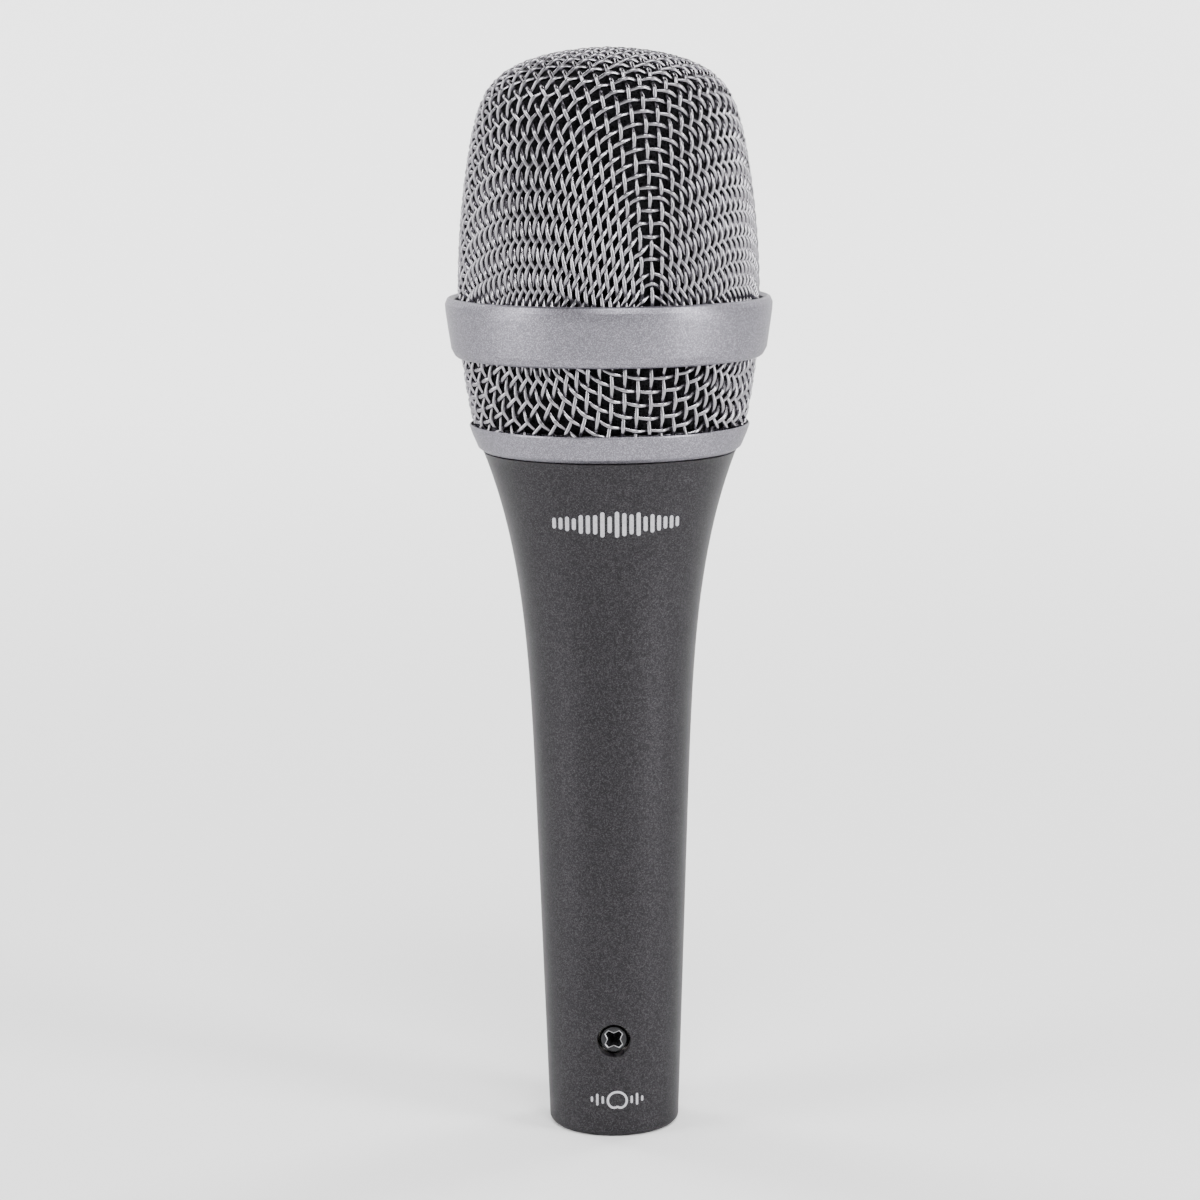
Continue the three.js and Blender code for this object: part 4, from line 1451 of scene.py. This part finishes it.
def build_capsule_shell():
    """Rear chamber, ported housing, drilled front grid and the two felts."""
    low, high = CHAMBER_FOOT / MM, CHAMBER_HEAD / MM
    outline = [(0, low), (12.0, low, 0.3), (13.0, low + 1, 0.5), (13.0, low + 6, 0.1), (12.8, low + 6.2, 0.1)]
    outline += [(12.8, low + 7, 0.1), (13.0, low + 7.2, 0.1), (13.0, high, 0.2), (11.8, high, 0.2)]
    outline += [(11.8, low + 1.2, 0.4), (0, low + 1.2)]
    turned_piece("rear_chamber_tube", outline, 128, "capsule", "moulded_black", "rear_chamber", closed=False)

    low, high = HOUSING_FOOT / MM, HOUSING_HEAD / MM
    outline = [(7, low, 0.3), (16.4, low, 0.5), (16.4, 145.6, 0.1), (16.1, 145.9, 0.1), (16.1, 152.1, 0.1)]
    outline += [(16.4, 152.4, 0.1), (16.4, high, 0.2), (14.8, high, 0.2), (14.8, 154.0, 0.2)]
    outline += [(11.3, 154.0, 0.2), (11.3, 152.8, 0.2), (14.8, 152.8, 0.3), (14.8, low + 1.6, 0.4)]
    outline += [(7, low + 1.6, 0.3)]
    housing = turned("capsule_housing_shell", rounded(outline), 192, finish("moulded_black"))
    slots = [box_parts((13.4, -1.1, 147), (17.4, 1.1, 151), (n + 0.5) * math.pi / 4) for n in range(8)]
    carve(housing, joined("Ports", slots, finish("moulded_black")))
    soften_edges(housing, 0.12 * MM)
    place_creased(housing, "capsule", "moulded_black", "capsule_housing")

    low, high = GRID_FOOT / MM, GRID_HEAD / MM
    outline = [(0, low), (16.4, low, 0.2), (16.4, high - 0.5, 0.4), (15.9, high, 0.3), (0, high)]
    grid = turned("front_grid_plate", rounded(outline, closed=False), 192, finish("moulded_black"))
    drill(grid, 1.8, low - 1, high + 1, [(0, 0), *circle_places(6, 5.4), *circle_places(12, 11)])
    soften_edges(grid, 0.15 * MM)
    place_creased(grid, "capsule", "moulded_black", "front_grid")

    ring = [(13.2, 146, 0.3), (14.5, 146, 0.3), (14.5, 152, 0.3), (13.2, 152, 0.3)]
    turned_piece("port_felt", ring, 128, "capsule", "grey_felt", "rear_felt_ring")
    pad = [(0, 163), (14.5, 163, 0.3), (14.5, 163.9, 0.3), (0, 163.9)]
    turned_piece("grid_felt", pad, 128, "capsule", "grey_felt", "front_felt", closed=False)


def build_board():
    """The terminal board with its solder rings and the two lugs."""
    low, high = node_span("terminal_board")
    outline = [(0, low / MM), (9.0, low / MM, 0.15), (9.0, high / MM, 0.15), (0, high / MM)]
    board = turned("terminal_disc", rounded(outline, closed=False), 96, finish("circuit_board"))
    holes = ((7.0, 0), (-7.0, 0), (0, 6.2), (0, -6.2))
    drill(board, 0.5, low / MM - 1, high / MM + 1, holes, 16)
    soften_edges(board, 0.08 * MM)
    place_creased(board, "capsule", "circuit_board", "terminal_board")
    rings = []
    for x, y in holes:
        ring = rounded([(0.5, -0.05), (1.1, -0.05), (1.1, 0.03, 0.02), (0.5, 0.03, 0.02)])
        ring = [(r, low - z) for r, z in ring]
        rings.append(turned_parts(ring, 24, (x * MM, y * MM)))
    pads = joined("solder_rings", rings, finish("gold_plate"))
    place_creased(pads, "capsule", "gold_plate")
    for node, side in (("hot_lug", 1), ("cold_lug", -1)):
        low, high = (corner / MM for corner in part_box(node))
        piece = mesh_object(f"{node}_blade", *box_parts(low, high), finish("gold_plate"))
        points, faces = cylinder_parts(0.6 * MM, -8 * MM, 8 * MM, 24)
        eye = mesh_object("Eye", [(z, x, y + 99.9 * MM) for x, y, z in points], faces, finish("gold_plate"))
        carve(piece, eye)
        soften_edges(piece, 0.2 * MM)
        place_creased(piece, "capsule", "gold_plate", node)
        blob = [(0, -0.9), (0.75, -0.75, 0.3), (0.95, 0, 0.4), (0.6, 0.8, 0.3), (0, 1.0)]
        points, faces = turned_parts(rounded(blob, closed=False), 24)
        place = Vector((side * 6.1, 0, 99.5)) * MM
        points = [tuple(Vector(point) + place) for point in points]
        joint = mesh_object(f"{node}_solder", points, faces, finish("nickel"))
        place_piece(joint, "capsule", "nickel", node)


def build_motor():
    """Yoke, magnet and pole plate, and the coil that moves with the diaphragm."""
    yoke = [(0, 145.5), (10.4, 145.5, 0.3), (11, 146.1, 0.3), (11, 157.5, 0.25), (9.4, 157.5, 0.2)]
    yoke += [(9.4, 148, 0.3), (0, 148)]
    turned_piece("magnet_yoke", yoke, 128, "capsule", "plated_steel", "yoke_cup", closed=False)
    disc = [(0, 148.3), (7, 148.3, 0.35), (7, 153.5, 0.35), (0, 153.5)]
    turned_piece("magnet_disc", disc, 128, "capsule", "magnet_plate", "magnet", closed=False)
    pole = [(0, 153.8), (7.9, 153.8, 0.2), (7.9, 156.4, 0.3), (1.2, 156.4, 0.2), (1.0, 156.0), (0, 156.0)]
    turned_piece("pole_plate", pole, 128, "capsule", "plated_steel", "top_plate", closed=False)
    winding = [(8.38, 154.4, 0.15), (9.0, 154.4, 0.2), (9.0, 158.0, 0.2), (8.38, 158.0, 0.15)]
    turned_piece("coil_winding", winding, 128, "moving_coil", "copper_wire", "voice_coil")
    former = [(8.3, 154.3), (8.4, 154.3), (8.4, 159.45, 0.05), (8.3, 159.45, 0.05)]
    turned_piece("coil_former", former, 128, "moving_coil", "clear_film", "voice_coil")
    base, skin = 159.5, 0.12
    top = [(13.8, base + skin), (13.2, base + skin, 0.3)]
    for k in range(5):
        radius = 12.7 - 0.8 * k
        top += [(radius, base + 0.75 + skin, 0.25), (radius - 0.4, base + 0.15 + skin, 0.25)]
    top += [(8.7, base + skin, 0.1)]
    crown = [(8.7 * (1 - t), base + skin + 2.2 * (1 - (1 - t) ** 2)) for t in np.linspace(0.05, 1, 24)]
    upper = rounded(top, closed=False) + [(r * MM, z * MM) for r, z in crown]
    lower = [(r, z - skin * MM) for r, z in upper[::-1]]
    film = turned("diaphragm_film", upper + lower, 160, finish("clear_film"))
    place_creased(film, "moving_coil", "clear_film", "diaphragm", angle=60)


# ---------------------------------------------------------------- stage


# (name, place, the point it faces, width and height, watts)
SOFTBOXES = (
    ("Left softbox", (-0.75, -0.3, 0.35), (0, 0, 0.1), (0.35, 0.8), 7.4),
    ("Right softbox", (0.7, -0.4, 0.35), (0, 0, 0.1), (0.25, 0.8), 9.4),
    ("Top softbox", (0.1, -0.5, 0.9), (0, 0, 0.15), (0.4, 0.3), 7),
    ("Left backdrop light", (-1.0, 0.9, 1.3), (0.0, 1.9, 0.6), (0.5, 1.2), 45),
    ("Right backdrop light", (1.0, 0.9, 1.3), (0.0, 1.9, 0.6), (0.5, 1.2), 45),
)


def soft_light(name, place, aim, size, power):
    """A rectangular softbox that faces a point."""
    light = bpy.data.lights.new(name, "AREA")
    light.shape = "RECTANGLE"
    light.size, light.size_y = size
    light.energy = power
    lamp = bpy.data.objects.new(name, light)
    lamp.location = place
    lamp.rotation_euler = (Vector(aim) - Vector(place)).to_track_quat("-Z", "Y").to_euler()
    bpy.context.scene.collection.objects.link(lamp)


def build_floor():
    """A round floor that sweeps up into a wall on all sides."""
    reach, bend, rise, thickness = 1.5, 0.7, 2.6, 0.02
    rows = [(0.0, 0.0), (reach, 0.0)]
    for turn in np.linspace(0, math.pi / 2, 25)[1:]:
        rows.append((reach + bend * math.sin(turn), bend * (1 - math.cos(turn))))
    rows.append((reach + bend, rise))
    rows += [(radius + thickness, height - thickness) for radius, height in rows[:0:-1]]
    rows.append((0.0, -thickness))
    floor = turned("Backdrop", rows, 128, paper_white("white_paper", 0.93))


def build_sky(brightness):
    """An even white surround."""
    sky = bpy.data.worlds.new("Studio")
    sky.use_nodes = True
    nodes = sky.node_tree.nodes
    nodes["Background"].inputs["Color"].default_value = (1, 1, 1, 1)
    nodes["Background"].inputs["Strength"].default_value = brightness
    bpy.context.scene.world = sky


def build_camera():
    """Eye level above the head, looking slightly down."""
    eye, focal_length = (0, -0.56383, 0.18922), 96.78
    yaw, pitch, roll = -0.0034, 0.1651, -0.0074
    ahead = Vector((math.sin(yaw) * math.cos(pitch), math.cos(yaw) * math.cos(pitch), -math.sin(pitch)))
    level = Vector((math.cos(yaw), -math.sin(yaw), 0))
    upright = level.cross(ahead)
    right = math.cos(roll) * level + math.sin(roll) * upright
    up = math.cos(roll) * upright - math.sin(roll) * level
    lens = bpy.data.cameras.new("Camera")
    lens.sensor_width, lens.lens = 36, focal_length
    lens.clip_start, lens.clip_end = 0.01, 50
    camera = bpy.data.objects.new("Camera", lens)
    turn = Matrix((right, up, -ahead)).transposed().to_4x4()
    camera.matrix_world = Matrix.Translation(eye) @ turn
    bpy.context.scene.collection.objects.link(camera)
    bpy.context.scene.camera = camera


# ---------------------------------------------------------------- add-on


class MicrophoneSizes(bpy.types.PropertyGroup):
    """Sizes of the woven head."""

    wire_radius: bpy.props.FloatProperty(
        name="Wire radius", description="Half the thickness of the head's wires",
        default=0.385 * MM, precision=5, unit="LENGTH", subtype="DISTANCE",
    )
    mesh_pitch: bpy.props.FloatProperty(
        name="Mesh pitch", description="Distance between neighbouring crossings along a wire",
        default=2.3 * MM, precision=5, unit="LENGTH", subtype="DISTANCE",
    )
    lock_angle: bpy.props.FloatProperty(
        name="Locking angle", description="Sharpest angle to which crossing wires can lean together",
        default=math.radians(46), unit="ROTATION", subtype="ANGLE",
    )
    wire_stiffness: bpy.props.FloatProperty(
        name="Wire stiffness", description="Share of a wire's bend that is straightened at each round",
        default=0.25, min=0, max=0.5, subtype="FACTOR",
    )
    net_turn: bpy.props.FloatProperty(
        name="Turn of the net", description="Angle from +X to the wire that runs straight over the crown",
        default=math.radians(16.3 - 90), unit="ROTATION", subtype="ANGLE",
    )


class MicrophoneColours(bpy.types.PropertyGroup):
    """Colours of the finishes that show."""

    handle_paint: bpy.props.FloatVectorProperty(
        name="Handle paint", description="Colour of the handle's paint between its flakes",
        default=(0.0205, 0.0193, 0.0214), min=0, max=1, subtype="COLOR",
    )
    silver_paint: bpy.props.FloatVectorProperty(
        name="Silver paint", description="Colour of the paint on the band and the collar between its flakes",
        default=(0.162, 0.156, 0.18), min=0, max=1, subtype="COLOR",
    )
    silver_print: bpy.props.FloatVectorProperty(
        name="Print", description="Colour of the marks printed on the handle",
        default=(0.42, 0.41, 0.44), min=0, max=1, subtype="COLOR",
    )
    wire_mesh: bpy.props.FloatVectorProperty(
        name="Wire", description="Colour of the plated wires of the head",
        default=(0.325, 0.314, 0.338), min=0, max=1, subtype="COLOR",
    )


class MICROPHONE_OT_handle(bpy.types.Operator):
    """Build the painted handle with its connector seat, neck thread and printed marks"""

    bl_idname = "microphone.handle"
    bl_label = "Handle"

    def execute(self, context):
        build_handle()
        build_prints()
        return {"FINISHED"}


class MICROPHONE_OT_connector(bpy.types.Operator):
    """Build the three-pin connector insert and its screw"""

    bl_idname = "microphone.connector"
    bl_label = "Connector"

    def execute(self, context):
        build_connector()
        build_screw()
        return {"FINISHED"}


class MICROPHONE_OT_head(bpy.types.Operator):
    """Build the collar, the centre band and the two woven meshes"""

    bl_idname = "microphone.head"
    bl_label = "Mesh head"

    def execute(self, context):
        build_head_rings()
        build_head_mesh(context.scene.microphone_sizes)
        return {"FINISHED"}


class MICROPHONE_OT_foam(bpy.types.Operator):
    """Build the foam behind the two meshes"""

    bl_idname = "microphone.foam"
    bl_label = "Foam"

    def execute(self, context):
        build_foam()
        return {"FINISHED"}


class MICROPHONE_OT_capsule(bpy.types.Operator):
    """Build the capsule, its rubber mount, its motor and its leads"""

    bl_idname = "microphone.capsule"
    bl_label = "Capsule"

    def execute(self, context):
        build_capsule_shell()
        build_board()
        build_motor()
        build_mount()
        build_leads()
        return {"FINISHED"}


class MICROPHONE_OT_stage(bpy.types.Operator):
    """Set up the camera, the soft lights and the pale backdrop"""

    bl_idname = "microphone.stage"
    bl_label = "Stage"

    def execute(self, context):
        build_camera()
        build_floor()
        build_sky(brightness=0.1)
        for softbox in SOFTBOXES:
            soft_light(*softbox)
        return {"FINISHED"}


class MICROPHONE_PT_panel(bpy.types.Panel):
    """Buttons for each step, in building order."""

    bl_idname = "MICROPHONE_PT_panel"
    bl_label = "Dynamic Microphone"
    bl_space_type = "VIEW_3D"
    bl_region_type = "UI"
    bl_category = "Microphone"

    def draw(self, context):
        sizes = context.scene.microphone_sizes
        for name in ("wire_radius", "mesh_pitch", "lock_angle", "wire_stiffness", "net_turn"):
            self.layout.prop(sizes, name)
        colours = context.scene.microphone_colours
        for name in ("handle_paint", "silver_paint", "silver_print", "wire_mesh"):
            self.layout.prop(colours, name)
        for step in STEPS:
            self.layout.operator(step.bl_idname)


STEPS = (
    MICROPHONE_OT_stage,
    MICROPHONE_OT_handle,
    MICROPHONE_OT_connector,
    MICROPHONE_OT_head,
    MICROPHONE_OT_foam,
    MICROPHONE_OT_capsule,
)
CLASSES = (MicrophoneSizes, MicrophoneColours, *STEPS, MICROPHONE_PT_panel)


def register():
    for kind in CLASSES:
        bpy.utils.register_class(kind)
    bpy.types.Scene.microphone_sizes = bpy.props.PointerProperty(type=MicrophoneSizes)
    bpy.types.Scene.microphone_colours = bpy.props.PointerProperty(type=MicrophoneColours)


def unregister():
    del bpy.types.Scene.microphone_colours
    del bpy.types.Scene.microphone_sizes
    for kind in reversed(CLASSES):
        bpy.utils.unregister_class(kind)


def main():
    register()
    bpy.ops.microphone.stage()
    bpy.ops.microphone.handle()
    bpy.ops.microphone.connector()
    bpy.ops.microphone.head()
    bpy.ops.microphone.foam()
    bpy.ops.microphone.capsule()


if __name__ == "__main__":
    main()
